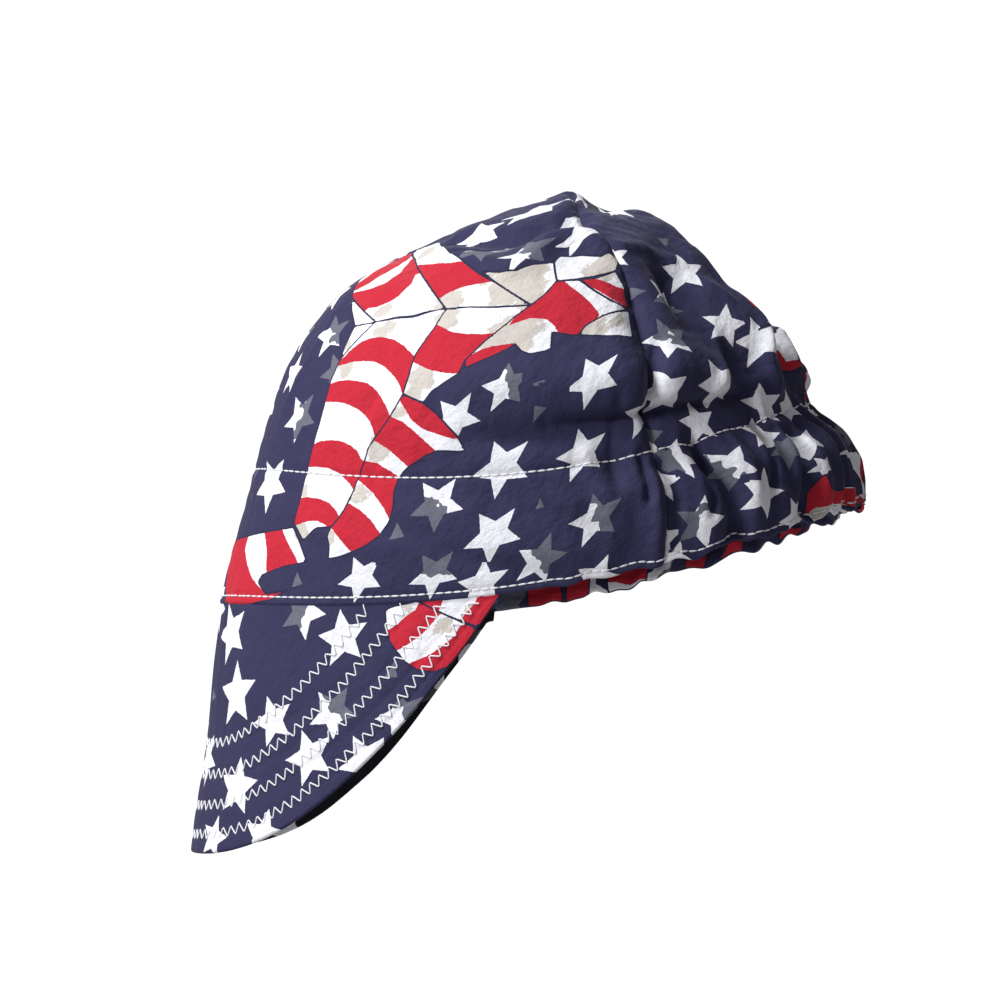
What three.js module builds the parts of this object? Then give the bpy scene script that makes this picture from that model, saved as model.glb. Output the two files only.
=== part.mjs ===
// Soft welding cap: four cotton gores, a hem turned up inside the rim and a soft stitched peak.
// Millimetres, +Z up out of the crown, -Y to the peak, +X to the wearer's left.
// The origin is the middle of the head opening, on the line from front to back of the rim.

import * as THREE from 'three';
import { mergeVertices } from 'three/addons/utils/BufferGeometryUtils.js';

// Head opening and crown
const OPENING_LENGTH = 195.4;
const OPENING_HALF_WIDTH = 66;
const CROWN_HEIGHT = 106.2;
const SIDE_DROOP = 12.9;
const FRONT_NARROWING = 0.09;
const CREST_TAKE_UP = 0.011;

// Cloth, seams and hem
const CLOTH = 1.3;
const SEAM_GAP = 0.3;
const HEM_CLOTH = 1.1;
const HEM_TOP = 0.262;

// Largest fold: how far it spreads to each side, and how far it lifts off the smooth crown
const FOLD_SPREAD = 8;
const FOLD_LIFT = 5.6;

// Peak
const PEAK_DEPTH = 73.9;
const PEAK_END_DEPTH = 3;
const PEAK_REACH = 82;
const PEAK_LEAN = THREE.MathUtils.degToRad(15);
const PEAK_FLARE = 0.04;
const PEAK_CURVE = 1.8;
const PEAK_CLOTH = 1.8;

// Facets
const FRONT_COLUMNS = 18;
const REAR_COLUMNS = 27;
const BAND_ROWS = 4;
const CROWN_ROWS = 15;
const ROW_CROWDING = 1.25;
const PEAK_COLUMNS = 26;
const PEAK_ROWS = 7;

const NAVY = 0x2c2a4c;
const FRONT_ANGLE = 0;
const BACK_ANGLE = Math.PI;
const SLOPE_STEP = 1e-3;

// Rings of the crown, from the rim up to the crest.
// front, back: where the ring meets the centre seams, as shares of the opening's length from its front.
// frontRise, backRise: how high it is there, as shares of the crown's height.
// width, droop: shares of the opening's half width and of the side droop.
// seam: the side seam's angle round the ring, in degrees from the front.
const RINGS = [
  { front: 0.000, frontRise: 0.000, back: 1.000, backRise: 0.015, width: 1.000, droop: 1.00, seam: 109 },
  { front: 0.028, frontRise: 0.122, back: 1.006, backRise: 0.113, width: 1.040, droop: 1.06, seam: 109 },
  { front: 0.057, frontRise: 0.245, back: 0.988, backRise: 0.217, width: 1.050, droop: 1.10, seam: 110 },
  { front: 0.086, frontRise: 0.371, back: 0.939, backRise: 0.316, width: 1.020, droop: 1.10, seam: 112 },
  { front: 0.119, frontRise: 0.499, back: 0.930, backRise: 0.405, width: 1.045, droop: 0.95, seam: 113 },
  { front: 0.156, frontRise: 0.627, back: 0.905, backRise: 0.504, width: 1.020, droop: 0.80, seam: 115 },
  { front: 0.200, frontRise: 0.725, back: 0.868, backRise: 0.607, width: 0.950, droop: 0.60, seam: 117 },
  { front: 0.256, frontRise: 0.817, back: 0.830, backRise: 0.716, width: 0.820, droop: 0.42, seam: 118 },
  { front: 0.338, frontRise: 0.880, back: 0.777, backRise: 0.819, width: 0.650, droop: 0.27, seam: 116 },
  { front: 0.428, frontRise: 0.935, back: 0.722, backRise: 0.907, width: 0.440, droop: 0.13, seam: 114 },
  { front: 0.532, frontRise: 0.977, back: 0.673, backRise: 0.965, width: 0.210, droop: 0.04, seam: 113 },
  { front: 0.628, frontRise: 1.000, back: 0.628, backRise: 1.000, width: 0.000, droop: 0.00, seam: 112 },
];

const LEFT = 1;
const RIGHT = -1;

// Folds, dents and gathers. Each runs along its path of [degrees from the front, share of the way up].
// spread and lift are shares of FOLD_SPREAD and FOLD_LIFT, and a valley has a negative lift.
const FOLDS = [
  { name: 'top ridge', side: LEFT, path: [[36, 0.76], [67, 0.70], [84, 0.68], [94, 0.75], [107, 0.745], [119, 0.69]],
    spread: 0.60, lift: 0.50 },
  { name: 'crest hollow', side: LEFT, path: [[28, 0.80], [48, 0.79], [84, 0.78], [104, 0.82], [124, 0.79]],
    spread: 0.65, lift: -0.60 },
  { name: 'crest dip', side: LEFT, path: [[126, 0.87], [150, 0.88], [177, 0.87]], spread: 0.70, lift: -0.40 },
  { name: 'rear ridge', side: LEFT, path: [[168, 0.83], [156, 0.68], [150, 0.59], [152, 0.50], [151, 0.32]],
    spread: 0.75, lift: 0.60 },
  { name: 'rear valley', side: LEFT, path: [[137, 0.67], [137, 0.50], [141, 0.40], [139, 0.29]],
    spread: 0.80, lift: -0.75 },
  { name: 'back roll', side: LEFT, path: [[170, 0.48], [164, 0.38], [174, 0.30]], spread: 0.70, lift: 0.65 },
  { name: 'back tuck', side: LEFT, path: [[156, 0.42], [160, 0.34], [170, 0.29]], spread: 0.45, lift: -0.45 },
  { name: 'side seam dip', side: LEFT, path: [[118, 0.62], [115, 0.46], [113, 0.31]], spread: 0.50, lift: -0.50 },
  { name: 'overhang', side: LEFT, path: [[66, 0.44], [95, 0.43], [128, 0.42]], spread: 0.95, lift: 0.45 },
  { name: 'tuck over band', side: LEFT, path: [[74, 0.335], [98, 0.335], [116, 0.33], [134, 0.315]],
    spread: 0.50, lift: -0.50 },
  { name: 'band slant', side: LEFT, path: [[76, 0.225], [90, 0.150], [106, 0.03]], spread: 0.85, lift: -0.35 },
  { name: 'gather', side: LEFT, path: [[103, 0.27], [101, 0.20]], spread: 0.35, lift: -0.20 },
  { name: 'gather', side: LEFT, path: [[113, 0.26], [110, 0.02]], spread: 0.45, lift: -0.40 },
  { name: 'gather', side: LEFT, path: [[120, 0.25], [123, 0.12], [124, 0.00]], spread: 0.45, lift: -0.80 },
  { name: 'gather', side: LEFT, path: [[143, 0.26], [135, 0.09]], spread: 0.45, lift: -0.35 },
  { name: 'gather', side: LEFT, path: [[149, 0.25], [143, 0.10], [142, 0.00]], spread: 0.45, lift: -1.00 },
  { name: 'gather', side: LEFT, path: [[158, 0.16], [156, 0.00]], spread: 0.40, lift: -0.40 },
  { name: 'gather', side: LEFT, path: [[169, 0.27], [168, 0.00]], spread: 0.45, lift: -0.60 },
  { name: 'top ridge', side: RIGHT, path: [[40, 0.73], [70, 0.68], [96, 0.72], [122, 0.70]], spread: 0.70, lift: 0.40 },
  { name: 'crest hollow', side: RIGHT, path: [[34, 0.80], [76, 0.79], [118, 0.80]], spread: 0.65, lift: -0.45 },
  { name: 'crest dip', side: RIGHT, path: [[130, 0.88], [152, 0.87], [177, 0.87]], spread: 0.70, lift: -0.40 },
  { name: 'rear ridge', side: RIGHT, path: [[166, 0.76], [156, 0.62], [148, 0.46], [146, 0.33]], spread: 0.75, lift: 0.50 },
  { name: 'rear valley', side: RIGHT, path: [[140, 0.64], [133, 0.46], [132, 0.30]], spread: 0.80, lift: -0.60 },
  { name: 'back roll', side: RIGHT, path: [[168, 0.44], [160, 0.37], [156, 0.30]], spread: 0.70, lift: 0.40 },
  { name: 'side seam dip', side: RIGHT, path: [[117, 0.56], [113, 0.31]], spread: 0.50, lift: -0.45 },
  { name: 'overhang', side: RIGHT, path: [[60, 0.42], [92, 0.43], [126, 0.41]], spread: 0.95, lift: 0.40 },
  { name: 'tuck over band', side: RIGHT, path: [[70, 0.33], [100, 0.335], [130, 0.32]], spread: 0.50, lift: -0.45 },
  { name: 'band slant', side: RIGHT, path: [[70, 0.21], [88, 0.12], [102, 0.04]], spread: 0.85, lift: -0.30 },
  { name: 'gather', side: RIGHT, path: [[106, 0.26], [105, 0.04]], spread: 0.45, lift: -0.35 },
  { name: 'gather', side: RIGHT, path: [[118, 0.26], [116, 0.00]], spread: 0.45, lift: -0.60 },
  { name: 'gather', side: RIGHT, path: [[129, 0.26], [130, 0.00]], spread: 0.45, lift: -0.75 },
  { name: 'gather', side: RIGHT, path: [[141, 0.26], [140, 0.00]], spread: 0.45, lift: -0.55 },
  { name: 'gather', side: RIGHT, path: [[154, 0.26], [151, 0.00]], spread: 0.45, lift: -0.85 },
  { name: 'gather', side: RIGHT, path: [[167, 0.27], [164, 0.00]], spread: 0.45, lift: -0.60 },
];

const FOLD_PATH_STEPS = 14;
const FOLD_TAPER = 0.18;

const crownHalf = OPENING_LENGTH / 2;

// Catmull-Rom value of one column of the rings at the given share of the way up.
function ringValue(column, up) {
  const last = RINGS.length - 1;
  const place = THREE.MathUtils.clamp(up, 0, 1) * last;
  const row = Math.min(Math.floor(place), last - 1);
  const part = place - row;
  const start = RINGS[row][column];
  const end = RINGS[row + 1][column];
  const before = row > 0 ? RINGS[row - 1][column] : 2 * start - end;
  const after = row < last - 1 ? RINGS[row + 2][column] : 2 * end - start;
  const slope = end - before;
  const bend = 2 * before - 5 * start + 4 * end - after;
  const twist = 3 * start - before - 3 * end + after;
  return 0.5 * (2 * start + part * (slope + part * (bend + part * twist)));
}

// Point of the smooth crown. The angle is in radians from the front, positive to the wearer's left.
function smoothPoint(angle, up) {
  const front = ringValue('front', up) * OPENING_LENGTH - crownHalf;
  const back = ringValue('back', up) * OPENING_LENGTH - crownHalf;
  const frontHeight = ringValue('frontRise', up) * CROWN_HEIGHT;
  const backHeight = ringValue('backRise', up) * CROWN_HEIGHT;
  const halfWidth = ringValue('width', up) * OPENING_HALF_WIDTH;
  const droop = ringValue('droop', up) * SIDE_DROOP;
  const cos = Math.cos(angle);
  const sin = Math.sin(angle);
  const x = halfWidth * sin * (1 - FRONT_NARROWING * cos);
  const y = (front + back) / 2 - (back - front) / 2 * cos;
  const z = frontHeight * (1 + cos) / 2 + backHeight * (1 - cos) / 2 - droop * sin * sin;
  return new THREE.Vector3(x, y, z);
}

// Outward normal of the smooth crown.
function smoothNormal(angle, up) {
  const low = Math.max(up - SLOPE_STEP, 0);
  const high = Math.min(up + SLOPE_STEP, 1 - CREST_TAKE_UP / 2);
  const around = smoothPoint(angle + SLOPE_STEP, up).sub(smoothPoint(angle - SLOPE_STEP, up));
  const rising = smoothPoint(angle, high).sub(smoothPoint(angle, low));
  return around.cross(rising).normalize();
}

// A fold's path on the smooth crown, as points at even shares of its length in angle and height.
function foldPath(fold) {
  const corners = fold.path.map(([degrees, up]) => new THREE.Vector2(
    THREE.MathUtils.degToRad(degrees), up));
  const spline = new THREE.SplineCurve(corners);
  return spline.getPoints(FOLD_PATH_STEPS).map((place) => smoothPoint(fold.side * place.x, place.y));
}

const foldPaths = FOLDS.map(foldPath);

// How far a point of the smooth crown is from a fold's path, and the share of the path it is beside.
function besideFold(point, path) {
  let nearest = Infinity;
  let share = 0;
  const onPath = new THREE.Vector3();
  for (let step = 0; step < path.length - 1; step += 1) {
    const line = new THREE.Line3(path[step], path[step + 1]);
    const part = line.closestPointToPointParameter(point, true);
    line.at(part, onPath);
    const distance = onPath.distanceTo(point);
    if (distance < nearest) {
      nearest = distance;
      share = (step + part) / (path.length - 1);
    }
  }
  return { distance: nearest, share };
}

// Sum of all the folds at one point of the smooth crown, outwards.
function foldLift(point) {
  return FOLDS.reduce((lift, fold, index) => {
    const { distance, share } = besideFold(point, foldPaths[index]);
    const across = Math.exp(-((distance / (fold.spread * FOLD_SPREAD)) ** 2));
    const toEnd = Math.min(share, 1 - share);
    const along = 0.35 + 0.65 * THREE.MathUtils.smoothstep(toEnd, 0, FOLD_TAPER);
    return lift + fold.lift * FOLD_LIFT * across * along;
  }, 0);
}

// Point of the folded crown, sunk below its outer face by a depth.
function crownPoint(angle, up, depth) {
  const point = smoothPoint(angle, up);
  return point.addScaledVector(smoothNormal(angle, up), foldLift(point.clone()) - depth);
}

// Closed solid from a grid of rows of point pairs, outer and inner. A ring closes on itself.
function wallGeometry(outer, inner, isRing) {
  const rows = outer.length;
  const columns = outer[0].length;
  const positions = [];
  [outer, inner].forEach((sheet) => sheet.forEach((row) => row.forEach((point) => {
    positions.push(point.x, point.y, point.z);
  })));
  const at = (layer, row, column) => layer * rows * columns + row * columns + column % columns;
  const faces = [];
  const quad = (a, b, c, d) => faces.push(a, b, c, a, c, d);
  const spans = isRing ? columns : columns - 1;
  for (let column = 0; column < spans; column += 1) {
    for (let row = 0; row < rows - 1; row += 1) {
      quad(at(0, row, column), at(0, row, column + 1), at(0, row + 1, column + 1), at(0, row + 1, column));
      quad(at(1, row, column), at(1, row + 1, column), at(1, row + 1, column + 1), at(1, row, column + 1));
    }
    quad(at(1, 0, column), at(1, 0, column + 1), at(0, 0, column + 1), at(0, 0, column));
    const top = rows - 1;
    quad(at(0, top, column), at(0, top, column + 1), at(1, top, column + 1), at(1, top, column));
  }
  if (!isRing) {
    const end = columns - 1;
    for (let row = 0; row < rows - 1; row += 1) {
      quad(at(1, row, 0), at(0, row, 0), at(0, row + 1, 0), at(1, row + 1, 0));
      quad(at(0, row, end), at(1, row, end), at(1, row + 1, end), at(0, row + 1, end));
    }
  }
  const geometry = new THREE.BufferGeometry();
  geometry.setAttribute('position', new THREE.Float32BufferAttribute(positions, 3));
  geometry.setIndex(faces);
  return mergeVertices(geometry);
}

// Heights of the rows in the band, where the turned hem backs the gores, and of those above it.
const bandHeights = Array.from({ length: BAND_ROWS + 1 }, (_, row) => HEM_TOP * row / BAND_ROWS);
// The crown's rows crowd towards the band, where the folds are tightest.
const crownHeights = Array.from({ length: CROWN_ROWS }, (_, row) => (
  THREE.MathUtils.lerp(HEM_TOP, 1 - CREST_TAKE_UP, ((row + 1) / CROWN_ROWS) ** ROW_CROWDING)));

// Grid of points: one row for each height, one point for each column.
function grid(heights, columns, pointAt) {
  return heights.map((height) => (
    Array.from({ length: columns }, (_, column) => pointAt(height, column))));
}

// The side seam's angle at a share of the way up, in radians.
function seamAngle(up) {
  return THREE.MathUtils.degToRad(ringValue('seam', up));
}

// Angle that a seam allowance of half the gap takes up at one height.
function gapAngle(angle, up) {
  const arc = smoothPoint(angle + SLOPE_STEP, up).distanceTo(smoothPoint(angle - SLOPE_STEP, up));
  return SEAM_GAP / 2 * (2 * SLOPE_STEP) / arc;
}

// One gore, from the rim to just short of the crest, between two seams given as angles by height.
function goreGeometry(startAngle, endAngle, columns) {
  const sheet = (depth) => grid([...bandHeights, ...crownHeights], columns + 1, (up, column) => {
    const start = startAngle(up);
    const end = endAngle(up);
    const first = start + gapAngle(start, up);
    const last = end - gapAngle(end, up);
    return crownPoint(first + (last - first) * column / columns, up, depth);
  });
  return wallGeometry(sheet(0), sheet(CLOTH), false);
}

// The angle of one of the hem's columns, which stand behind the columns of the four gores.
function hemAngle(column, up) {
  const half = FRONT_COLUMNS + REAR_COLUMNS;
  const fromFront = Math.abs(column - half);
  const side = Math.sign(column - half);
  if (fromFront <= FRONT_COLUMNS) {
    return side * seamAngle(up) * fromFront / FRONT_COLUMNS;
  }
  const pastSeam = (fromFront - FRONT_COLUMNS) / REAR_COLUMNS;
  return side * THREE.MathUtils.lerp(seamAngle(up), BACK_ANGLE, pastSeam);
}

// The hem turned up inside the gores, a closed ring that follows their folds.
function hemGeometry() {
  const columns = 2 * (FRONT_COLUMNS + REAR_COLUMNS);
  const outerDepth = CLOTH + SEAM_GAP;
  const sheet = (depth) => grid(bandHeights, columns, (up, column) => (
    crownPoint(hemAngle(column, up), up, depth)));
  return wallGeometry(sheet(outerDepth), sheet(outerDepth + HEM_CLOTH), true);
}

// Angle at which the rim has come back from its front by the given length.
function rimAngle(reach) {
  const rimLength = (RINGS[0].back - RINGS[0].front) * OPENING_LENGTH;
  return Math.acos(1 - 2 * reach / rimLength);
}

// The peak hangs from under the rim, leans forward and runs out towards its two ends.
function peakGeometry() {
  const endAngle = rimAngle(PEAK_REACH);
  const rimDepth = (CLOTH + SEAM_GAP + HEM_CLOTH) / 2;
  const hang = (share, column, side) => {
    const across = column / PEAK_COLUMNS * 2 - 1;
    const angle = across * endAngle;
    const root = crownPoint(angle, 0, rimDepth);
    const reach = (root.y + crownHalf) / PEAK_REACH;
    const drop = PEAK_DEPTH * (1 - Math.min(Math.abs(reach), 1) ** PEAK_CURVE);
    const length = Math.max(drop, PEAK_END_DEPTH);
    const lean = new THREE.Vector3(PEAK_FLARE * Math.sin(angle), -Math.sin(PEAK_LEAN), -Math.cos(PEAK_LEAN));
    const rimRun = smoothPoint(angle + SLOPE_STEP, 0).sub(smoothPoint(angle - SLOPE_STEP, 0));
    const outward = lean.clone().cross(rimRun).normalize();
    const belowRim = SEAM_GAP + PEAK_CLOTH / 2 * Math.abs(outward.z);
    return root.addScaledVector(lean, (belowRim + share * length) / lean.length())
      .addScaledVector(outward, side * PEAK_CLOTH / 2);
  };
  const shares = Array.from({ length: PEAK_ROWS + 1 }, (_, row) => 1 - row / PEAK_ROWS);
  const sheet = (side) => grid(shares, PEAK_COLUMNS + 1, (share, column) => hang(share, column, side));
  return wallGeometry(sheet(1), sheet(-1), false);
}

function cottonPiece(name, geometry) {
  const material = new THREE.MeshStandardMaterial({ color: NAVY, roughness: 0.85, metalness: 0 });
  const piece = new THREE.Mesh(geometry, material);
  piece.name = name;
  return piece;
}

const front = () => FRONT_ANGLE;
const back = () => BACK_ANGLE;
const leftSeam = (up) => seamAngle(up);
const rightSeam = (up) => -seamAngle(up);
const frontFromRight = () => -FRONT_ANGLE;
const backFromRight = () => -BACK_ANGLE;

const cap = new THREE.Group();
cap.add(cottonPiece('crown_front_left', goreGeometry(front, leftSeam, FRONT_COLUMNS)));
cap.add(cottonPiece('crown_rear_left', goreGeometry(leftSeam, back, REAR_COLUMNS)));
cap.add(cottonPiece('crown_rear_right', goreGeometry(backFromRight, rightSeam, REAR_COLUMNS)));
cap.add(cottonPiece('crown_front_right', goreGeometry(rightSeam, frontFromRight, FRONT_COLUMNS)));
cap.add(cottonPiece('turned_hem', hemGeometry()));
cap.add(cottonPiece('peak', peakGeometry()));

export default cap;
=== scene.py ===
"""Soft cotton welding cap: four gores, a hem turned up inside the rim and a soft stitched peak.

The cloth follows the same rings and folds as the solids, with the finer creases, the print and every row
of stitching added. Lengths are millimetres until a mesh is made. +Z is up, -Y is the front and +X is the
wearer's left, as in the frame.
"""
import logging
import math
from dataclasses import dataclass
from enum import Enum
from typing import Callable, NamedTuple

import bpy
import numpy as np
from mathutils import Matrix, Vector


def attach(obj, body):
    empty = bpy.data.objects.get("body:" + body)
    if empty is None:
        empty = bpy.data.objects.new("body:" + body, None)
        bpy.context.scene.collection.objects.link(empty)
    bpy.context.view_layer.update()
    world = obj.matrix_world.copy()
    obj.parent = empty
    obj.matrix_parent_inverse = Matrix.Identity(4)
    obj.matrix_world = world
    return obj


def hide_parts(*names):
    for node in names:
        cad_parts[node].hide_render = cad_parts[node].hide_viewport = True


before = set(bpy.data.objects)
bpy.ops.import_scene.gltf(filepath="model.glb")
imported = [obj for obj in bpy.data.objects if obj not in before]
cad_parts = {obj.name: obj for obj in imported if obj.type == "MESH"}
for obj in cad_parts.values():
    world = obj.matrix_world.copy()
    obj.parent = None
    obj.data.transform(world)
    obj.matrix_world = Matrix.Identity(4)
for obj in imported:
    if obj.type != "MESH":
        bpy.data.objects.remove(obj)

log = logging.getLogger("welding_cap")

METRES = 0.001
TURN = 2 * math.pi
BODY = "root"
IMAGE_SIDE = 1001
SLOPE_STEP = 1e-3
TINY = 1e-9

# Millimetres round the rim for each radian, for the waves that are counted along it.
RIM_RADIUS = 62.0

# Millimetres up from the rim at which the rolled edge has its rows.
ROLL_STEPS = (0.0, 0.06, 0.22, 0.5, 0.85)

# The same for the rounded lower edge of the peak.
EDGE_STEPS = (0.0, 0.04, 0.16, 0.36, 0.6)


class Ring(NamedTuple):
    """One ring of the crown: places and sizes as shares, and the side seam's angle in degrees."""

    front: float
    front_rise: float
    back: float
    back_rise: float
    width: float
    droop: float
    seam: float


# From the rim up to the crest, at even shares of the way up.
RINGS = (
    Ring(0.000, 0.000, 1.000, 0.015, 1.000, 1.00, 109),
    Ring(0.028, 0.122, 1.006, 0.113, 1.040, 1.06, 109),
    Ring(0.057, 0.245, 0.988, 0.217, 1.050, 1.10, 110),
    Ring(0.086, 0.371, 0.939, 0.316, 1.020, 1.10, 112),
    Ring(0.119, 0.499, 0.930, 0.405, 1.045, 0.95, 113),
    Ring(0.156, 0.627, 0.905, 0.504, 1.020, 0.80, 115),
    Ring(0.200, 0.725, 0.868, 0.607, 0.950, 0.60, 117),
    Ring(0.256, 0.817, 0.830, 0.716, 0.820, 0.42, 118),
    Ring(0.338, 0.880, 0.777, 0.819, 0.650, 0.27, 116),
    Ring(0.428, 0.935, 0.722, 0.907, 0.440, 0.13, 114),
    Ring(0.532, 0.977, 0.673, 0.965, 0.210, 0.04, 113),
    Ring(0.628, 1.000, 0.628, 1.000, 0.000, 0.00, 112),
)


class Side(Enum):
    """Which half of the cap a fold or a piece is on, by the sign of its X."""

    LEFT = 1.0
    RIGHT = -1.0


class Fold(NamedTuple):
    """A fold along a path of (degrees from the front, share of the way up)."""

    side: Side
    path: tuple[tuple[float, float], ...]
    spread: float
    lift: float


L, R = Side.LEFT, Side.RIGHT

# spread and lift are shares of the largest fold's, and a valley has a negative lift.
FOLDS = (
    Fold(L, ((36, 0.76), (67, 0.70), (84, 0.68), (94, 0.75), (107, 0.745), (119, 0.69)), 0.60, 0.50),
    Fold(L, ((28, 0.80), (48, 0.79), (84, 0.78), (104, 0.82), (124, 0.79)), 0.65, -0.60),
    Fold(L, ((126, 0.87), (150, 0.88), (177, 0.87)), 0.70, -0.40),
    Fold(L, ((168, 0.83), (156, 0.68), (150, 0.59), (152, 0.50), (151, 0.32)), 0.75, 0.60),
    Fold(L, ((137, 0.67), (137, 0.50), (141, 0.40), (139, 0.29)), 0.80, -0.75),
    Fold(L, ((170, 0.48), (164, 0.38), (174, 0.30)), 0.70, 0.65),
    Fold(L, ((156, 0.42), (160, 0.34), (170, 0.29)), 0.45, -0.45),
    Fold(L, ((118, 0.62), (115, 0.46), (113, 0.31)), 0.50, -0.50),
    Fold(L, ((66, 0.44), (95, 0.43), (128, 0.42)), 0.95, 0.45),
    Fold(L, ((74, 0.335), (98, 0.335), (116, 0.33), (134, 0.315)), 0.50, -0.50),
    Fold(L, ((76, 0.225), (90, 0.150), (106, 0.03)), 0.85, -0.35),
    Fold(L, ((103, 0.27), (101, 0.20)), 0.35, -0.20),
    Fold(L, ((113, 0.26), (110, 0.02)), 0.45, -0.40),
    Fold(L, ((120, 0.25), (123, 0.12), (124, 0.00)), 0.45, -0.80),
    Fold(L, ((143, 0.26), (135, 0.09)), 0.45, -0.35),
    Fold(L, ((149, 0.25), (143, 0.10), (142, 0.00)), 0.45, -1.00),
    Fold(L, ((158, 0.16), (156, 0.00)), 0.40, -0.40),
    Fold(L, ((169, 0.27), (168, 0.00)), 0.45, -0.60),
    Fold(R, ((40, 0.73), (70, 0.68), (96, 0.72), (122, 0.70)), 0.70, 0.40),
    Fold(R, ((34, 0.80), (76, 0.79), (118, 0.80)), 0.65, -0.45),
    Fold(R, ((130, 0.88), (152, 0.87), (177, 0.87)), 0.70, -0.40),
    Fold(R, ((166, 0.76), (156, 0.62), (148, 0.46), (146, 0.33)), 0.75, 0.50),
    Fold(R, ((140, 0.64), (133, 0.46), (132, 0.30)), 0.80, -0.60),
    Fold(R, ((168, 0.44), (160, 0.37), (156, 0.30)), 0.70, 0.40),
    Fold(R, ((117, 0.56), (113, 0.31)), 0.50, -0.45),
    Fold(R, ((60, 0.42), (92, 0.43), (126, 0.41)), 0.95, 0.40),
    Fold(R, ((70, 0.33), (100, 0.335), (130, 0.32)), 0.50, -0.45),
    Fold(R, ((70, 0.21), (88, 0.12), (102, 0.04)), 0.85, -0.30),
    Fold(R, ((106, 0.26), (105, 0.04)), 0.45, -0.35),
    Fold(R, ((118, 0.26), (116, 0.00)), 0.45, -0.60),
    Fold(R, ((129, 0.26), (130, 0.00)), 0.45, -0.75),
    Fold(R, ((141, 0.26), (140, 0.00)), 0.45, -0.55),
    Fold(R, ((154, 0.26), (151, 0.00)), 0.45, -0.85),
    Fold(R, ((167, 0.27), (164, 0.00)), 0.45, -0.60),
)

# Creases too fine for the solids, with the same shares.
FINE_FOLDS = (
    Fold(L, ((158, 0.67), (155, 0.57), (154, 0.48), (148, 0.38), (151, 0.31)), 0.26, 0.44),
    Fold(L, ((177, 0.76), (175, 0.64), (173, 0.55), (162, 0.45)), 0.32, -0.50),
    Fold(L, ((135, 0.66), (132, 0.58), (131, 0.49)), 0.62, -0.50),
    Fold(L, ((118, 0.70), (132, 0.695), (145, 0.66)), 0.38, 0.30),
    Fold(L, ((119, 0.49), (113, 0.38), (113, 0.29)), 0.22, -0.50),
    Fold(L, ((106, 0.40), (104, 0.31), (102, 0.20)), 0.18, -0.16),
    Fold(L, ((90, 0.355), (108, 0.345), (122, 0.345), (142, 0.325)), 0.28, -0.70),
    Fold(L, ((140, 0.50), (134, 0.40), (128, 0.32)), 0.34, 0.28),
    Fold(L, ((130, 0.96), (101, 0.87), (94, 0.78)), 0.36, 0.20),
    Fold(L, ((146, 0.60), (163, 0.63), (180, 0.63)), 0.90, -0.38),
    Fold(L, ((52, 0.72), (76, 0.755), (102, 0.785), (124, 0.75)), 0.30, -0.36),
    Fold(L, ((30, 0.62), (48, 0.60), (62, 0.55)), 0.30, -0.14),
    Fold(L, ((18, 0.36), (24, 0.48), (22, 0.60)), 0.30, 0.14),
    Fold(L, ((44, 0.33), (52, 0.42), (50, 0.52)), 0.30, -0.12),
    Fold(L, ((109, 0.27), (106, 0.15)), 0.18, -0.40),
    Fold(L, ((115, 0.26), (112, 0.08)), 0.22, 0.16),
    Fold(L, ((122, 0.27), (118, 0.09)), 0.18, -0.46),
    Fold(L, ((130, 0.27), (128, 0.10)), 0.24, 0.18),
    Fold(L, ((139, 0.27), (132, 0.10)), 0.18, -0.46),
    Fold(L, ((151, 0.27), (146, 0.12)), 0.22, 0.20),
    Fold(L, ((163, 0.27), (161, 0.04)), 0.20, -0.36),
    Fold(L, ((174, 0.27), (175, 0.04)), 0.22, -0.36),
    Fold(L, ((60, 0.16), (78, 0.07), (92, 0.02)), 0.40, -0.14),
    Fold(L, ((30, 0.20), (50, 0.13), (70, 0.12)), 0.45, 0.10),
    Fold(R, ((154, 0.66), (151, 0.56), (150, 0.46), (146, 0.36)), 0.28, 0.24),
    Fold(R, ((136, 0.64), (131, 0.55), (131, 0.46)), 0.60, -0.26),
    Fold(R, ((117, 0.50), (112, 0.38), (112, 0.29)), 0.24, -0.24),
    Fold(R, ((86, 0.355), (106, 0.345), (124, 0.345), (144, 0.33)), 0.34, -0.30),
    Fold(R, ((132, 0.95), (102, 0.87), (92, 0.78)), 0.36, 0.20),
    Fold(R, ((146, 0.60), (163, 0.63), (180, 0.63)), 0.90, -0.38),
    Fold(R, ((28, 0.62), (46, 0.58), (62, 0.56)), 0.30, -0.14),
    Fold(R, ((20, 0.36), (25, 0.50), (22, 0.60)), 0.30, 0.14),
    Fold(R, ((112, 0.26), (110, 0.08)), 0.20, -0.34),
    Fold(R, ((123, 0.27), (122, 0.12)), 0.20, 0.18),
    Fold(R, ((135, 0.27), (136, 0.08)), 0.20, -0.36),
    Fold(R, ((148, 0.27), (146, 0.10)), 0.22, 0.20),
    Fold(R, ((160, 0.27), (158, 0.05)), 0.20, -0.36),
    Fold(R, ((173, 0.27), (172, 0.04)), 0.24, 0.16),
)


class Groove(NamedTuple):
    """A row of stitching that draws the cloth in, with the ripple that it leaves on both sides."""

    depth: float
    width: float
    ripple: float
    gathered_ripple: float
    reach: float


BAND_GROOVE = Groove(0.50, 1.0, 0.10, 0.32, 6.0)
RIM_GROOVE = Groove(0.35, 0.9, 0.06, 0.24, 5.0)


class Crumple(NamedTuple):
    """A random swell of the cloth, with its height where the cloth is taut and what slack adds."""

    wavelength: float
    seed: int
    taut: float
    slack: float


CRUMPLES = (Crumple(34.0, 5, 0.0, 0.60), Crumple(13.0, 8, 0.0, 0.26), Crumple(6.0, 3, 0.04, 0.09))


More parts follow.
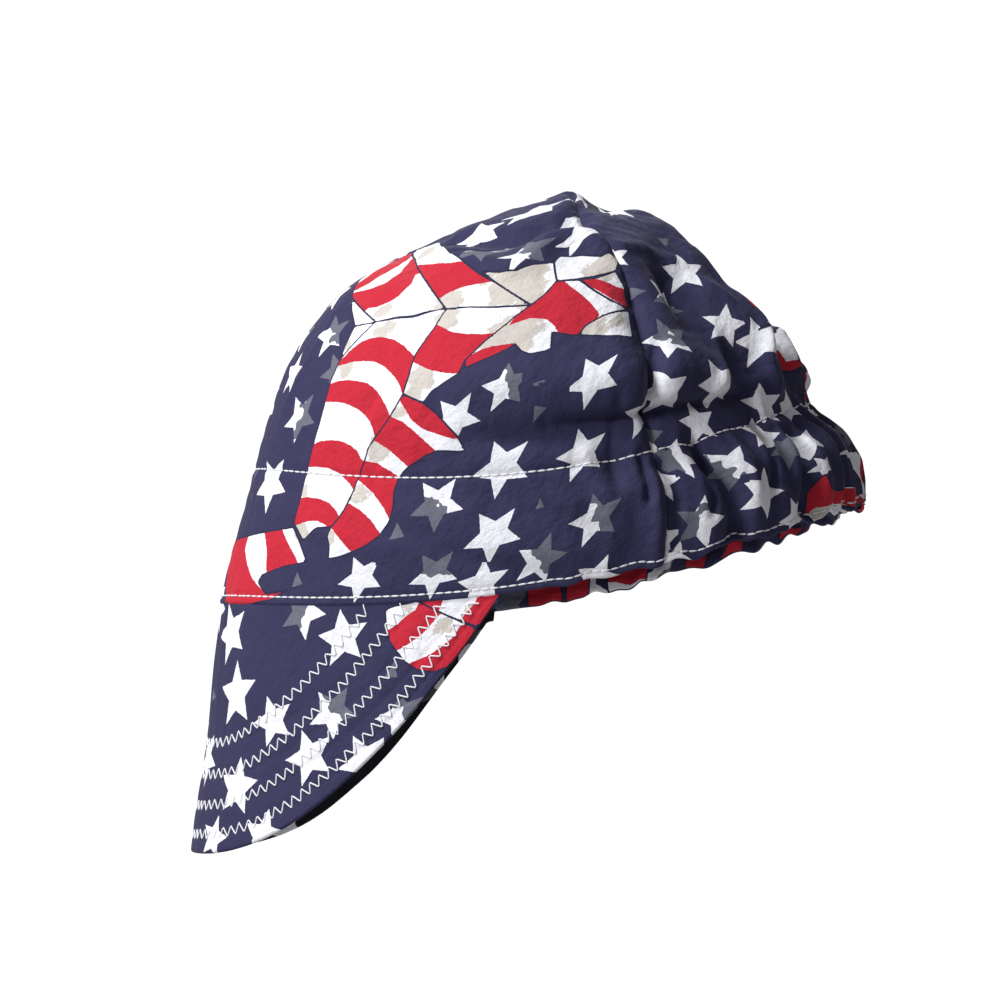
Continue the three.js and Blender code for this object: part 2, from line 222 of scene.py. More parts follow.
class Wave(NamedTuple):
    """A wave along the rim: its length, and how far it sways to and fro over what length."""

    length: float
    sway: float
    sway_length: float

    def at(self, place: np.ndarray, shift: np.ndarray, phase: np.ndarray | float = 0.0) -> np.ndarray:
        """Height of the wave, from -1 to 1.

        Args:
            place: millimetres along the rim.
            shift: radians that move the sway along.
            phase: radians that move the wave along.

        Returns:
            The height at each place.
        """
        sway = self.sway * np.sin(place / self.sway_length + shift)
        return np.sin(place * TURN / self.length + sway + phase)


def smoothstep(value: np.ndarray, low: float, high: float) -> np.ndarray:
    """Eased rise from 0 at low to 1 at high."""
    share = np.clip((value - low) / (high - low), 0, 1)
    return share * share * (3 - 2 * share)


def eased(angle: np.ndarray, low: float, high: float) -> np.ndarray:
    """Eased rise from 0 to 1 of an angle in radians, between two angles in degrees."""
    return smoothstep(angle, math.radians(low), math.radians(high))


def bell(value: np.ndarray, spread: float) -> np.ndarray:
    """Rounded hump of height 1 at 0, which has faded at about twice its spread."""
    return np.exp(-((value / spread) ** 2))


def catmull_rom(rows: np.ndarray, place: np.ndarray, mirrored_ends: bool) -> np.ndarray:
    """Smooth curve through rows of numbers.

    Args:
        rows: one row for each knot.
        place: where to read the curve, counted in knots.
        mirrored_ends: whether the curve runs straight on past its ends, or stops there.

    Returns:
        The interpolated rows, with the shape of place before the rows' own.
    """
    last = len(rows) - 1
    knot = np.minimum(place.astype(int), last - 1)
    part = (place - knot)[..., None]
    start, end = rows[knot], rows[knot + 1]
    beyond_start = 2 * start - end if mirrored_ends else start
    beyond_end = 2 * end - start if mirrored_ends else end
    before = np.where((knot > 0)[..., None], rows[np.maximum(knot - 1, 0)], beyond_start)
    after = np.where((knot < last - 1)[..., None], rows[np.minimum(knot + 2, last)], beyond_end)
    bend = 2 * before - 5 * start + 4 * end - after
    twist = 3 * start - before - 3 * end + after
    return 0.5 * (2 * start + part * (end - before + part * (bend + part * twist)))


def unit(vectors: np.ndarray) -> np.ndarray:
    """The same directions, each with a length of 1."""
    return vectors / np.maximum(np.linalg.norm(vectors, axis=-1, keepdims=True), TINY)


def heading(angle: float) -> np.ndarray:
    """The flat direction that is turned to the right from straight up, by an angle in radians."""
    return np.array([math.sin(angle), math.cos(angle)])


def arc_length(points: np.ndarray, axis: int = 0) -> np.ndarray:
    """Distances along the lines of points that follow an axis, each from its first point."""
    steps = np.linalg.norm(np.diff(points, axis=axis), axis=-1)
    return np.insert(np.cumsum(steps, axis=axis), 0, 0.0, axis=axis)


def drift(points: np.ndarray, wavelength: float, seed: int) -> np.ndarray:
    """Soft random swell between about -1 and 1 over space, the same for the same seed."""
    rng = np.random.default_rng(seed)
    waves = 7
    toward = unit(rng.normal(size=(waves, 3)))
    rate = TURN / wavelength * rng.uniform(0.7, 1.5, waves)
    phase = rng.uniform(0, TURN, waves)
    swell = sum(np.sin(points @ toward[k] * rate[k] + phase[k]) for k in range(waves))
    return swell / math.sqrt(waves)


def add_object(name: str, data: bpy.types.ID) -> bpy.types.Object:
    """Adds a mesh, a camera or a light to the scene, at the origin."""
    thing = bpy.data.objects.new(name, data)
    bpy.context.scene.collection.objects.link(thing)
    return thing


@dataclass(frozen=True)
class CrownForm:
    """The crown's surface, from the rim to the crest, by angle from the front and share of the way up.

    Angles are in radians, positive to the wearer's left. The fields are in millimetres, apart from shares,
    the band's and the rim's lines as shares of the way up, the pairs of degrees between which creases,
    scallops and sags come in, and two shifts in radians that keep the right half from repeating the left.
    """

    opening_length: float = 195.4
    half_width: float = 66.0
    height: float = 106.2
    side_droop: float = 12.9
    front_narrowing: float = 0.09
    fold_spread: float = 8.0
    fold_lift: float = 5.6
    fold_taper: float = 0.18
    fold_end_share: float = 0.35
    fold_steps: int = 14
    profile_length: float = 148.0
    slope_top: float = 0.9945
    band_line: float = 0.266
    rim_line: float = 0.018
    rim_roll: float = 1.3
    thinnest_share: float = 0.04
    seam_depth: float = 0.85
    seam_width: float = 0.9
    shoulder_lift: float = 0.22
    shoulder_offset: float = 3.0
    shoulder_width: float = 1.7
    pucker_lift: float = 0.16
    pucker_length: float = 7.3
    pucker_reach: float = 4.0
    rib_lift: float = 0.75
    rib_start: tuple[float, float] = (-4.0, 3.0)
    rib_end: tuple[float, float] = (-2.0, 10.0)
    creased: tuple[float, float] = (84.0, 118.0)
    ripple: Wave = Wave(6.1, 1.9, 9.0)
    ribs: Wave = Wave(8.3, 2.3, 13.0)
    crease_shift: float = 2.4
    rim_scallop: float = 0.8
    scalloped: tuple[float, float] = (80.0, 105.0)
    scallop: Wave = Wave(11.5, 2.6, RIM_RADIUS / 7)
    small_scallop: Wave = Wave(5.3, 3.1, RIM_RADIUS / 5)
    small_share: float = 0.45
    scallop_fade: float = 5.0
    scallop_shift: float = 1.7
    far_sag: float = 1.1
    far_side: tuple[float, float] = (45.0, 85.0)
    back_sag: float = 1.3
    back_side: tuple[float, float] = (118.0, 165.0)
    sag_fade: float = 16.0
    crest_point: float = 1.5
    crest_spread: float = 0.055

    def ring(self, up: np.ndarray) -> Ring:
        """The rings' columns at each share of the way up."""
        rows = np.array(RINGS)
        columns = catmull_rom(rows, np.clip(up, 0, 1) * (len(rows) - 1), True)
        return Ring(*np.moveaxis(columns, -1, 0))

    def seam_angle(self, up: np.ndarray) -> np.ndarray:
        """The side seam's angle from the front."""
        return np.radians(self.ring(up).seam)

    def heights(self, top: float, count: int) -> np.ndarray:
        """Shares of the way up, crowded where the cloth rolls under at the rim.

        Args:
            top: the last share.
            count: how many rows there are above the roll.

        Returns:
            The shares, from the rim upwards.
        """
        body = np.linspace(self.rim_roll / self.profile_length, top, count)
        return np.concatenate([np.array(ROLL_STEPS) / self.profile_length, body])

    def thickness(self, cloth: float, up: np.ndarray) -> np.ndarray:
        """How thick the wall is at each share of the way up, thin where it meets the turned hem at the rim.
        """
        return cloth * np.clip(up * self.profile_length / self.rim_roll, self.thinnest_share, 1)

    def smooth(self, angle: np.ndarray, up: np.ndarray | float) -> np.ndarray:
        """Points of the crown before any fold."""
        angle, up = np.broadcast_arrays(angle, up)
        ring = self.ring(up)
        half = self.opening_length / 2
        front = ring.front * self.opening_length - half
        back = ring.back * self.opening_length - half
        cos, sin = np.cos(angle), np.sin(angle)
        x = ring.width * self.half_width * sin * (1 - self.front_narrowing * cos)
        y = (front + back) / 2 - (back - front) / 2 * cos
        rise = ring.front_rise * (1 + cos) / 2 + ring.back_rise * (1 - cos) / 2
        z = rise * self.height - ring.droop * self.side_droop * sin * sin
        return np.stack([x, y, z], axis=-1)

    def run(self, angle: np.ndarray, up: np.ndarray | float) -> np.ndarray:
        """How the crown's points move for each radian round it."""
        after, before = self.smooth(angle + SLOPE_STEP, up), self.smooth(angle - SLOPE_STEP, up)
        return (after - before) / (2 * SLOPE_STEP)

    def normal(self, angle: np.ndarray, up: np.ndarray) -> np.ndarray:
        """Outward normals of the crown before any fold."""
        low = np.maximum(up - SLOPE_STEP, 0)
        high = np.minimum(up + SLOPE_STEP, self.slope_top)
        return unit(np.cross(self.run(angle, up), self.smooth(angle, high) - self.smooth(angle, low)))

    def fold_path(self, fold: Fold) -> np.ndarray:
        """Points along a fold on the smooth crown."""
        corners = np.array(fold.path, dtype=float)
        place = np.linspace(0, len(corners) - 1, self.fold_steps + 1)
        along = catmull_rom(corners, place, False)
        return self.smooth(fold.side.value * np.radians(along[:, 0]), along[:, 1])

    def folds(self, points: np.ndarray) -> np.ndarray:
        """How far all the folds lift each point of the smooth crown."""
        flat = points.reshape(-1, 3)
        lift = np.zeros(len(flat))
        for fold in FOLDS + FINE_FOLDS:
            path = self.fold_path(fold)
            spread = fold.spread * self.fold_spread
            reach = 3 * spread
            near = np.all((flat > path.min(0) - reach) & (flat < path.max(0) + reach), axis=1)
            if not near.any():
                continue
            distance, share = beside_path(flat[near], path)
            to_end = np.minimum(share, 1 - share)
            along = self.fold_end_share + (1 - self.fold_end_share) * smoothstep(to_end, 0, self.fold_taper)
            lift[near] += fold.lift * self.fold_lift * bell(distance, spread) * along
        return lift.reshape(points.shape[:-1])

    def creases(self, angle: np.ndarray, up: np.ndarray, points: np.ndarray) -> np.ndarray:
        """The fine creases: seams, puckers beside the stitching, gathers and soft crumpling.

        Args:
            angle: angles from the front.
            up: shares of the way up.
            points: the smooth crown's points there.

        Returns:
            How far each point is lifted.
        """
        arc = np.linalg.norm(self.run(angle, up), axis=-1)
        turn = np.abs(angle)
        round_rim = turn * RIM_RADIUS
        above_band = (up - self.band_line) * self.profile_length
        above_rim = (up - self.rim_line) * self.profile_length
        gathered = eased(turn, *self.creased)
        shift = np.where(angle >= 0, 0.0, self.crease_shift)
        in_band = smoothstep(above_rim, *self.rib_start) * (1 - smoothstep(above_band, *self.rib_end))
        lift = self.rib_lift * self.ribs.at(round_rim, shift, -shift) * gathered * in_band
        ripple = self.ripple.at(round_rim, shift, shift)
        for above, groove in ((above_band, BAND_GROOVE), (above_rim, RIM_GROOVE)):
            rippled = groove.ripple + groove.gathered_ripple * gathered
            lift = lift - groove.depth * bell(above, groove.width)
            lift = lift + ripple * rippled * np.exp(-np.abs(above) / groove.reach)
        pucker = self.pucker_lift * np.sin(up * self.profile_length * TURN / self.pucker_length + 3 * shift)
        for away in (np.abs(turn - self.seam_angle(up)), turn, math.pi - turn):
            from_seam = away * arc
            lift = lift - self.seam_depth * bell(from_seam, self.seam_width)
            lift = lift + self.shoulder_lift * bell(from_seam - self.shoulder_offset, self.shoulder_width)
            lift = lift + pucker * np.exp(-from_seam / self.pucker_reach)
        slack = 0.25 + 0.5 * gathered + 0.5 * smoothstep(up, 0.6, 0.8)
        for crumple in CRUMPLES:
            swell = drift(points, crumple.wavelength, crumple.seed)
            lift = lift + (crumple.taut + crumple.slack * slack) * swell
        return lift * (1 - 0.8 * smoothstep(up, 0.93, 0.99))

    def folded(self, angle: np.ndarray, up: np.ndarray | float,
               depth: np.ndarray | float = 0.0) -> np.ndarray:
        """Points of the finished cloth.

        Args:
            angle: angles from the front.
            up: shares of the way from the rim to the crest.
            depth: how far below the outer face, along the smooth crown's normal.

        Returns:
            The points, with the folds and creases in them.
        """
        angle, up = np.broadcast_arrays(np.asarray(angle, dtype=float), np.asarray(up, dtype=float))
        points = self.smooth(angle, up)
        out = self.folds(points) + self.creases(angle, up, points) - depth
        points = points + self.normal(angle, up) * out[..., None]
        points[..., 2] += self.crest_point * bell(1 - up, self.crest_spread) - self.sag(angle, up)
        return points

    def sag(self, angle: np.ndarray, up: np.ndarray) -> np.ndarray:
        """How far the rim hangs below the smooth crown, in scallops where it is gathered."""
        turn = np.abs(angle)
        round_rim = turn * RIM_RADIUS
        height = up * self.profile_length
        shift = np.where(angle >= 0, 0.0, self.scallop_shift)
        large, small = self.scallop.at(round_rim, shift), self.small_scallop.at(round_rim, -shift)
        scallop = self.rim_scallop * eased(turn, *self.scalloped) * (large + self.small_share * small)
        loose = self.far_sag * eased(-angle, *self.far_side) + self.back_sag * eased(turn, *self.back_side)
        return loose * np.exp(-height / self.sag_fade) + scallop * np.exp(-height / self.scallop_fade)

    def roll_depth(self, up: np.ndarray) -> np.ndarray:
        """How far the outer face sinks where the cloth rolls under at the rim."""
        from_rim = np.clip(up * self.profile_length / self.rim_roll, 0, 1)
        return self.rim_roll * (1 - np.sqrt(1 - (1 - from_rim) ** 2))


def beside_path(points: np.ndarray, path: np.ndarray) -> tuple[np.ndarray, np.ndarray]:
    """Distance of each point from a path, and the share of the path that it lies beside."""
    nearest = np.full(len(points), np.inf)
    share = np.zeros(len(points))
    spans = len(path) - 1
    for k in range(spans):
        line = path[k + 1] - path[k]
        part = np.clip((points - path[k]) @ line / (line @ line), 0, 1)
        distance = np.linalg.norm(points - path[k] - part[:, None] * line, axis=1)
        closer = distance < nearest
        nearest = np.where(closer, distance, nearest)
        share = np.where(closer, (k + part) / spans, share)
    return nearest, share


@dataclass(frozen=True)
class Sight:
    """The camera's place and aim, and where points of the cap fall in the photograph's frame."""

    aim: tuple[float, float, float] = (0.0, -9.9, 18.2)
    azimuth: float = 88.5
    elevation: float = -3.0
    roll: float = 8.8
    distance: float = 1300.0
    scale: float = 0.30
    sensor: float = 36.0

    @property
    def focal_pixels(self) -> float:
        """The lens's focal length, counted in pixels of the image."""
        return self.distance / self.scale

    def axes(self) -> tuple[np.ndarray, np.ndarray, np.ndarray, np.ndarray]:
        """The camera's place, and its directions to the right, up and forward."""
        azimuth, elevation, roll = (math.radians(a) for a in (self.azimuth, self.elevation, self.roll))
        out = np.array([
            math.sin(azimuth) * math.cos(elevation),
            -math.cos(azimuth) * math.cos(elevation),
            math.sin(elevation),
        ])
        level = unit(np.cross(-out, (0, 0, 1)))
        upright = np.cross(level, -out)
        right = level * math.cos(roll) - upright * math.sin(roll)
        up = upright * math.cos(roll) + level * math.sin(roll)
        return np.array(self.aim) + out * self.distance, right, up, -out

    def pixels(self, points: np.ndarray) -> np.ndarray:
        """Where points fall in the image, across and down."""
        place, right, up, forward = self.axes()
        away = points - place
        depth = away @ forward
        middle = IMAGE_SIDE / 2
        across = middle + self.focal_pixels * (away @ right) / depth
        down = middle - self.focal_pixels * (away @ up) / depth
        return np.stack([across, down], axis=-1)

    def camera(self) -> None:
        """Adds the camera and makes it the scene's own."""
        place, right, up, forward = self.axes()
        data = bpy.data.cameras.new("camera")
        data.sensor_width = self.sensor
        data.lens = self.focal_pixels / IMAGE_SIDE * self.sensor
        data.clip_start = 0.05
        data.clip_end = 50.0
        camera = add_object("camera", data)
        turn = Matrix([right, up, -forward]).transposed().to_4x4()
        camera.matrix_world = Matrix.Translation(Vector(place * METRES)) @ turn
        bpy.context.scene.camera = camera


@dataclass
class Sheet:
    """A wall of cloth as grids of points, rows by columns.

    Attributes:
        face: points of the printed side.
        back: points of the other side.
        flat: where each column and row lies on the flat pattern, with a last column even if closed.
        closed: whether the last column meets the first.
        grazing: the cosine between a point's normal and its line to the camera, below which it hardly shows.
        behind: how many millimetres past the cap's middle a spot may lie and still count as on its side.
        smallest_cell: the square pixels below which a cell of the grid is seen too much from its edge.
        farthest: how many cells a spot may lie from the nearest point.
    """

    face: np.ndarray
    back: np.ndarray
    flat: np.ndarray
    closed: bool = False
    grazing: float = 0.06
    behind: float = 1.0
    smallest_cell: float = 0.2
    farthest: float = 2.0

    def unseen(self, sight: Sight) -> np.ndarray:
        """The spots on the flat pattern whose cloth faces away from the camera."""
        climb, run = np.gradient(self.face, axis=(0, 1))
        place, _, _, _ = sight.axes()
        facing = (unit(np.cross(run, climb)) * unit(place - self.face)).sum(axis=-1)
        return self.flat[: len(facing), : facing.shape[1]][facing < self.grazing]

    def place_of(self, sight: Sight, side: Side, across: float, down: float) -> np.ndarray:
        """The spot on the flat pattern that shows at one pixel of the photograph's frame.

        Args:
            sight: the camera.
            side: the half of the cap that the spot is on.
            across: the pixel's place from the left.
            down: the pixel's place from the top.

        Returns:
            Millimetres across and up on the flat pattern, worked out between the grid's points.
        """
        seen = sight.pixels(self.face)
        distance = np.hypot(seen[..., 0] - across, seen[..., 1] - down)
        distance = np.where(self.face[..., 0] * side.value > -self.behind, distance, np.inf)
        row, column = np.unravel_index(np.argmin(distance), distance.shape)
        next_row = row + 1 if row + 1 < len(seen) else row - 1
        next_column = column + 1 if column + 1 < seen.shape[1] else column - 1
        steps = ((next_row, column), (row, next_column))
        seen_steps = np.stack([seen[step] - seen[row, column] for step in steps], axis=1)
        flat_steps = np.stack([self.flat[step] - self.flat[row, column] for step in steps], axis=1)
        if abs(np.linalg.det(seen_steps)) < self.smallest_cell:
            return self.flat[row, column]
        share = np.linalg.solve(seen_steps, np.array([across, down]) - seen[row, column])
        return self.flat[row, column] + flat_steps @ np.clip(share, -self.farthest, self.farthest)


def flat_pattern(points: np.ndarray) -> np.ndarray:
    """Lays a grid of points out flat, with its middle column straight.

    Args:
        points: rows by columns by 3, on the unfolded surface.

    Returns:
        Rows by columns by 2: millimetres to the side of the middle, and up from the first row.
    """
    across = arc_length(points, axis=1)
    middle = across[:, [round((points.shape[1] - 1) / 2)]]
    return np.stack([across - middle, arc_length(points, axis=0)], axis=-1)


class Ink(Enum):
    """How a star is printed: white, grey, part white and part grey, or as one grey point alone."""

    WHITE = "white"
    GREY = "grey"
    HALF = "half"
    SHARD = "shard"


class Star(NamedTuple):
    """A star of the print, by the pixel of its middle, its turn to the right and its radius in mm."""

    across: float
    down: float
    turn: float
    radius: float
    ink: Ink = Ink.WHITE
    split: float = 0.0


class Blotch(NamedTuple):
    """A tan blotch on the pale stripes, by the pixel of its middle and its radius in mm."""

    across: float
    down: float
    radius: float


class Ribbon(NamedTuple):
    """A white piece of the print with red stripes, by the pixels of its corners and of theirs."""

    outline: tuple[tuple[float, float], ...]
    reds: tuple[tuple[tuple[float, float], ...], ...] = ()


class Marks(NamedTuple):
    """What shows of the print on one piece of cloth."""

    stars: tuple[Star, ...]
    ribbons: tuple[Ribbon, ...]
    blotches: tuple[Blotch, ...] = ()


# A shard is one point of a star: where it starts along the point, and where its middle lies.
SHARD_START = 0.46
SHARD_MIDDLE = 0.64

W, G, H, S = Ink.WHITE, Ink.GREY, Ink.HALF, Ink.SHARD

# How far out along its split, in shares of its radius, each star turns grey, and a place past any star.
SPLIT_OFFSETS = {W: 9.0, G: -9.0, H: -0.02, S: SHARD_START}
PAST_STAR = 9.0

# The scattered stars, in millimetres, but for the clearance, which is a share of a star's radius.
PRINT_SEED = 41
SCATTER_TRIES = 900
SCATTER_INKS = (W, W, W, W, H, H, S)
SCATTER_RADII = (7.2, 8.6)
STAR_SPACING = 16.0
RIBBON_CLEARANCE = 0.6

# Pixels from a star's middle at which its turn is read.
TIP_REACH = 18

# Millimetres from a ribbon beyond which its distance isn't worked out, and the distance given instead.
RIBBON_REACH = 4.0
FAR_OFF = 50.0


def all_red(*outline: tuple[float, float]) -> Ribbon:
    """A piece of the print that is red all over, by the pixels of its corners."""
    return Ribbon(outline, (outline,))


FRONT_STARS = (
    Star(270, 484, -6, 9.0), Star(502, 467, -18, 8.7), Star(493, 535, -33, 8.6), Star(455, 419, 32, 7.8),
    Star(437, 504, 36, 8.4, H, 190), Star(506, 386, 6, 7.2, H, 70), Star(594, 379, -22, 7.8),
    Star(540, 386, 180, 8.0, S), Star(538, 412, 205, 7.6, S), Star(540, 505, 0, 5.4, S),
    Star(397, 533, 0, 9.0, S), Star(582, 454, -8, 7.6), Star(596, 519, -6, 8.0, H, 80),
    Star(540, 560, 22, 7.8, H, 40), Star(482, 584, 6, 7.6), Star(434, 574, 40, 7.6, H, -30),
    Star(361, 578, -20, 7.4), Star(480, 235, 13, 8.4), Star(533, 212, 30, 8.0), Star(581, 233, -48, 6.2),
    Star(332, 335, 12, 7.8, H, 60), Star(300, 417, 30, 8.0, H, 60), Star(293, 374, -25, 7.4),
    Star(336, 371, -10, 6.8, G), Star(297, 581, 0, 8.0, S), Star(526, 251, 24, 7.4, H, 60),
)

REAR_STARS = (
    Star(665, 392, -22, 7.6), Star(722, 383, -30, 8.0), Star(698, 423, -28, 6.2), Star(763, 405, -10, 6.6),
    Star(789, 407, 20, 5.6), Star(637, 441, 0, 6.2, H, 30), Star(641, 484, -24, 8.0),
    Star(676, 460, 0, 7.0, H, 250), Star(731, 467, 24, 7.6, H, 190), Star(759, 441, -24, 7.0),
    Star(786, 450, 0, 6.6, G), Star(806, 442, 4, 6.4), Star(764, 493, 0, 7.8), Star(795, 515, -14, 6.2),
    Star(656, 543, -14, 7.6), Star(701, 523, 10, 8.0, H, 265), Star(676, 566, 8, 6.0),
    Star(842, 431, 30, 7.0, G),
    Star(613, 212, 12, 8.4), Star(664, 241, 60, 8.0, S), Star(684, 272, -24, 7.4), Star(725, 325, 4, 7.0),
    Star(670, 338, -36, 7.6, H, 45), Star(636, 292, 90, 8.0, S), Star(709, 278, 40, 5.6, G),
    Star(760, 341, 30, 7.6), Star(606, 262, 0, 5.0), Star(825, 466, 4, 3.6),
)

PEAK_STARS = (
    Star(231, 633, -4, 9.6), Star(236, 694, 2, 10.2), Star(303, 612, 24, 8.4, H, 260),
    Star(343, 638, -6, 8.6),
    Star(273, 721, -14, 7.8), Star(309, 757, -14, 8.6), Star(237, 787, 10, 9.0), Star(208, 759, 0, 8.4),
    Star(263, 836, 14, 8.2), Star(333, 712, 30, 8.2, H, 20), Star(365, 761, 40, 8.8),
    Star(402, 716, 50, 8.4, H, 0),
    Star(392, 672, 10, 8.4, S), Star(214, 838, 12, 7.0),
)

# Waving striped pieces, drawn for this cap in the places where the cloth shows them.
FRONT_RIBBONS = (
    Ribbon(((375, 322), (447, 308), (438, 322), (414, 357), (409, 375), (403, 394), (389, 418), (374, 439),
            (368, 449), (364, 463), (359, 478), (353, 492), (344, 510), (331, 527), (316, 528), (303, 541),
            (294, 523), (301, 496), (308, 467), (314, 442), (325, 402), (331, 380), (340, 360)),
           (((330, 368), (343, 358), (352, 349), (361, 342), (371, 338), (383, 337), (393, 339), (403, 345),
             (414, 356), (424, 372), (410, 404), (402, 393), (399, 384), (394, 376), (385, 367), (376, 362),
             (366, 361), (352, 362), (338, 366)),
            ((322, 386), (330, 384), (338, 381), (347, 380), (358, 381), (367, 383), (374, 388), (381, 397),
             (386, 406), (390, 416), (398, 428), (384, 448), (375, 438), (373, 430), (370, 422), (364, 414),
             (356, 408), (347, 404), (338, 402), (325, 402), (316, 403)),
            ((302, 446), (314, 444), (321, 441), (330, 440), (341, 441), (350, 445), (357, 451), (362, 460),
             (374, 464), (362, 504), (354, 491), (350, 484), (344, 478), (337, 472), (328, 468), (318, 467),
             (308, 467), (296, 468)),
            ((290, 500), (301, 498), (307, 497), (314, 498), (321, 499), (329, 503), (335, 509), (340, 518),
             (350, 528), (336, 538), (324, 524), (317, 521), (308, 521), (300, 524), (286, 528)))),
    Ribbon(((355, 326), (375, 322), (340, 360), (347, 342))),
    Ribbon(((403, 394), (423, 403), (436, 413), (457, 436), (466, 452), (445, 451), (436, 451), (425, 456),
            (413, 464), (407, 468), (399, 478), (394, 492), (393, 508), (389, 522), (379, 536), (365, 546),
            (352, 552), (339, 557), (328, 559), (329, 546), (327, 536), (331, 527), (344, 510), (353, 492),
            (359, 478), (364, 463), (368, 449), (374, 439), (389, 418)),
           (((398, 390), (412, 394), (427, 402), (441, 413), (454, 430), (460, 441), (450, 438), (440, 435),
             (431, 432), (423, 429), (416, 424), (410, 418), (405, 409), (400, 401)),
            ((384, 412), (392, 417), (403, 422), (415, 432), (427, 443), (436, 451), (447, 460), (428, 474),
             (407, 466), (397, 457), (388, 449), (375, 441), (362, 436)),
            ((354, 458), (366, 461), (377, 463), (390, 471), (400, 478), (410, 484), (404, 516), (396, 532),
             (391, 522), (383, 507), (373, 493), (362, 483), (356, 478), (346, 474)),
            ((336, 496), (348, 503), (360, 510), (370, 519), (381, 535), (388, 548), (368, 562), (352, 553),
             (342, 542), (331, 528), (320, 518)))),
    Ribbon(((352, 297), (360, 280), (377, 267), (395, 260), (414, 252), (415, 259), (420, 272), (430, 287),
            (446, 309), (410, 316), (376, 322)),
           (((348, 288), (357, 284), (370, 275), (386, 265), (400, 258), (412, 251), (416, 252), (412, 256),
             (400, 265), (386, 273), (370, 283), (357, 290)),
            ((344, 297), (353, 293), (370, 289), (386, 283), (400, 273), (412, 259), (418, 252), (426, 272),
             (416, 274), (412, 283), (400, 295), (387, 303), (377, 307), (368, 308), (360, 318),
             (346, 304)))),
    Ribbon(((352, 297), (376, 322), (355, 326), (352, 312))),
    Ribbon(((415, 259), (417, 249), (425, 246), (441, 242), (452, 254), (467, 264), (480, 274), (495, 282),
            (507, 290), (531, 305), (500, 307), (470, 307), (446, 309), (430, 287), (420, 272)),
           (((410, 268), (418, 265), (433, 264), (450, 263), (467, 261), (484, 264), (502, 279), (494, 281),
             (477, 284), (460, 288), (448, 293), (441, 298), (430, 302)),)),
    Ribbon(((446, 309), (470, 307), (500, 307), (531, 305), (517, 315), (485, 341), (465, 360), (459, 373),
            (445, 382), (432, 391), (423, 403), (403, 394), (409, 375), (414, 357), (438, 322)),
           (((430, 318), (438, 325), (452, 332), (467, 334), (485, 334), (500, 332), (516, 326), (484, 372),
             (462, 374), (446, 373), (430, 370), (415, 363), (404, 358)),)),
    Ribbon(((531, 305), (545, 294), (557, 281), (580, 280), (595, 291), (612, 301), (629, 310), (600, 317),
            (585, 326), (579, 335), (570, 335), (552, 332), (551, 349), (545, 351), (529, 354), (521, 351),
            (515, 344), (507, 349), (465, 368), (465, 360), (485, 341), (517, 315)),
           (((508, 326), (520, 311), (540, 294), (556, 276), (564, 281), (577, 291), (590, 302), (600, 314),
             (592, 326), (577, 340), (560, 336), (554, 325), (546, 319), (530, 318), (516, 323)),
            ((456, 376), (462, 360), (480, 350), (492, 346), (515, 343), (518, 352), (500, 355),
             (484, 362)))),
    Ribbon(((580, 280), (597, 278), (616, 271), (624, 286), (629, 310), (612, 301), (595, 291)),
           (((574, 274), (592, 278), (604, 281), (617, 287), (630, 294), (638, 316), (624, 306), (613, 300),
             (597, 290), (584, 284)),)),
    Ribbon(((579, 335), (585, 326), (600, 317), (629, 311), (633, 338), (610, 336))),
    Ribbon(((554, 262), (560, 256), (582, 255), (602, 256), (609, 252), (619, 260), (616, 271), (595, 276),
            (577, 279), (557, 281))),
    Ribbon(((480, 271), (500, 272), (517, 270), (535, 264), (554, 262), (557, 281), (545, 294), (531, 305),
            (507, 290), (495, 282))),
    Ribbon(((225, 602), (226, 565), (233, 543), (248, 536), (265, 532), (293, 527), (300, 543), (307, 562),
            (282, 567), (262, 575), (258, 582), (266, 594), (288, 590), (270, 600), (250, 606), (235, 608)),
           (((214, 604), (216, 560), (226, 536), (250, 530), (245, 550), (247, 563), (252, 578), (262, 590),
             (296, 588), (280, 604), (250, 614), (225, 614)),
            ((260, 522), (265, 535), (267, 550), (266, 568), (268, 584), (302, 574), (296, 558), (288, 543),
             (280, 524)))),
)

REAR_RIBBONS = (
    Ribbon(((735, 290), (744, 306), (752, 322), (758, 330), (768, 337), (776, 328), (800, 300), (770, 280)),
           (((722, 280), (758, 280), (762, 304), (750, 312), (738, 304)),)),
    Ribbon(((776, 328), (768, 337), (772, 346), (778, 358), (790, 372), (797, 372), (804, 361), (830, 340),
            (800, 300)),
           (((783, 324), (800, 312), (836, 345), (806, 366), (801, 352), (793, 338)),
            ((760, 336), (770, 352), (778, 364), (790, 378), (800, 374), (786, 362), (778, 350),
             (774, 342)))),
    Ribbon(((790, 372), (797, 384), (803, 396), (806, 402), (816, 404), (840, 396), (830, 340), (804, 361),
            (797, 372)), (((780, 362), (790, 400), (812, 414), (850, 400), (836, 330)),)),
    Ribbon(((838, 452), (846, 449), (856, 452), (872, 480), (870, 497), (862, 494), (862, 480), (851, 466)),
           (((848, 440), (856, 453), (862, 466), (865, 480), (870, 500), (884, 496), (876, 456)),)),
    Ribbon(((820, 478), (826, 474), (832, 489), (844, 490), (852, 486), (864, 494), (868, 498), (866, 506),
            (858, 514), (838, 519), (820, 523), (806, 528), (804, 512), (806, 494), (812, 486)),
           (((808, 480), (820, 472), (829, 476), (834, 488), (846, 488), (856, 484), (874, 496), (862, 505),
             (846, 505), (834, 504), (824, 507), (814, 508), (809, 514), (812, 526), (798, 532),
             (798, 500)),)),
)

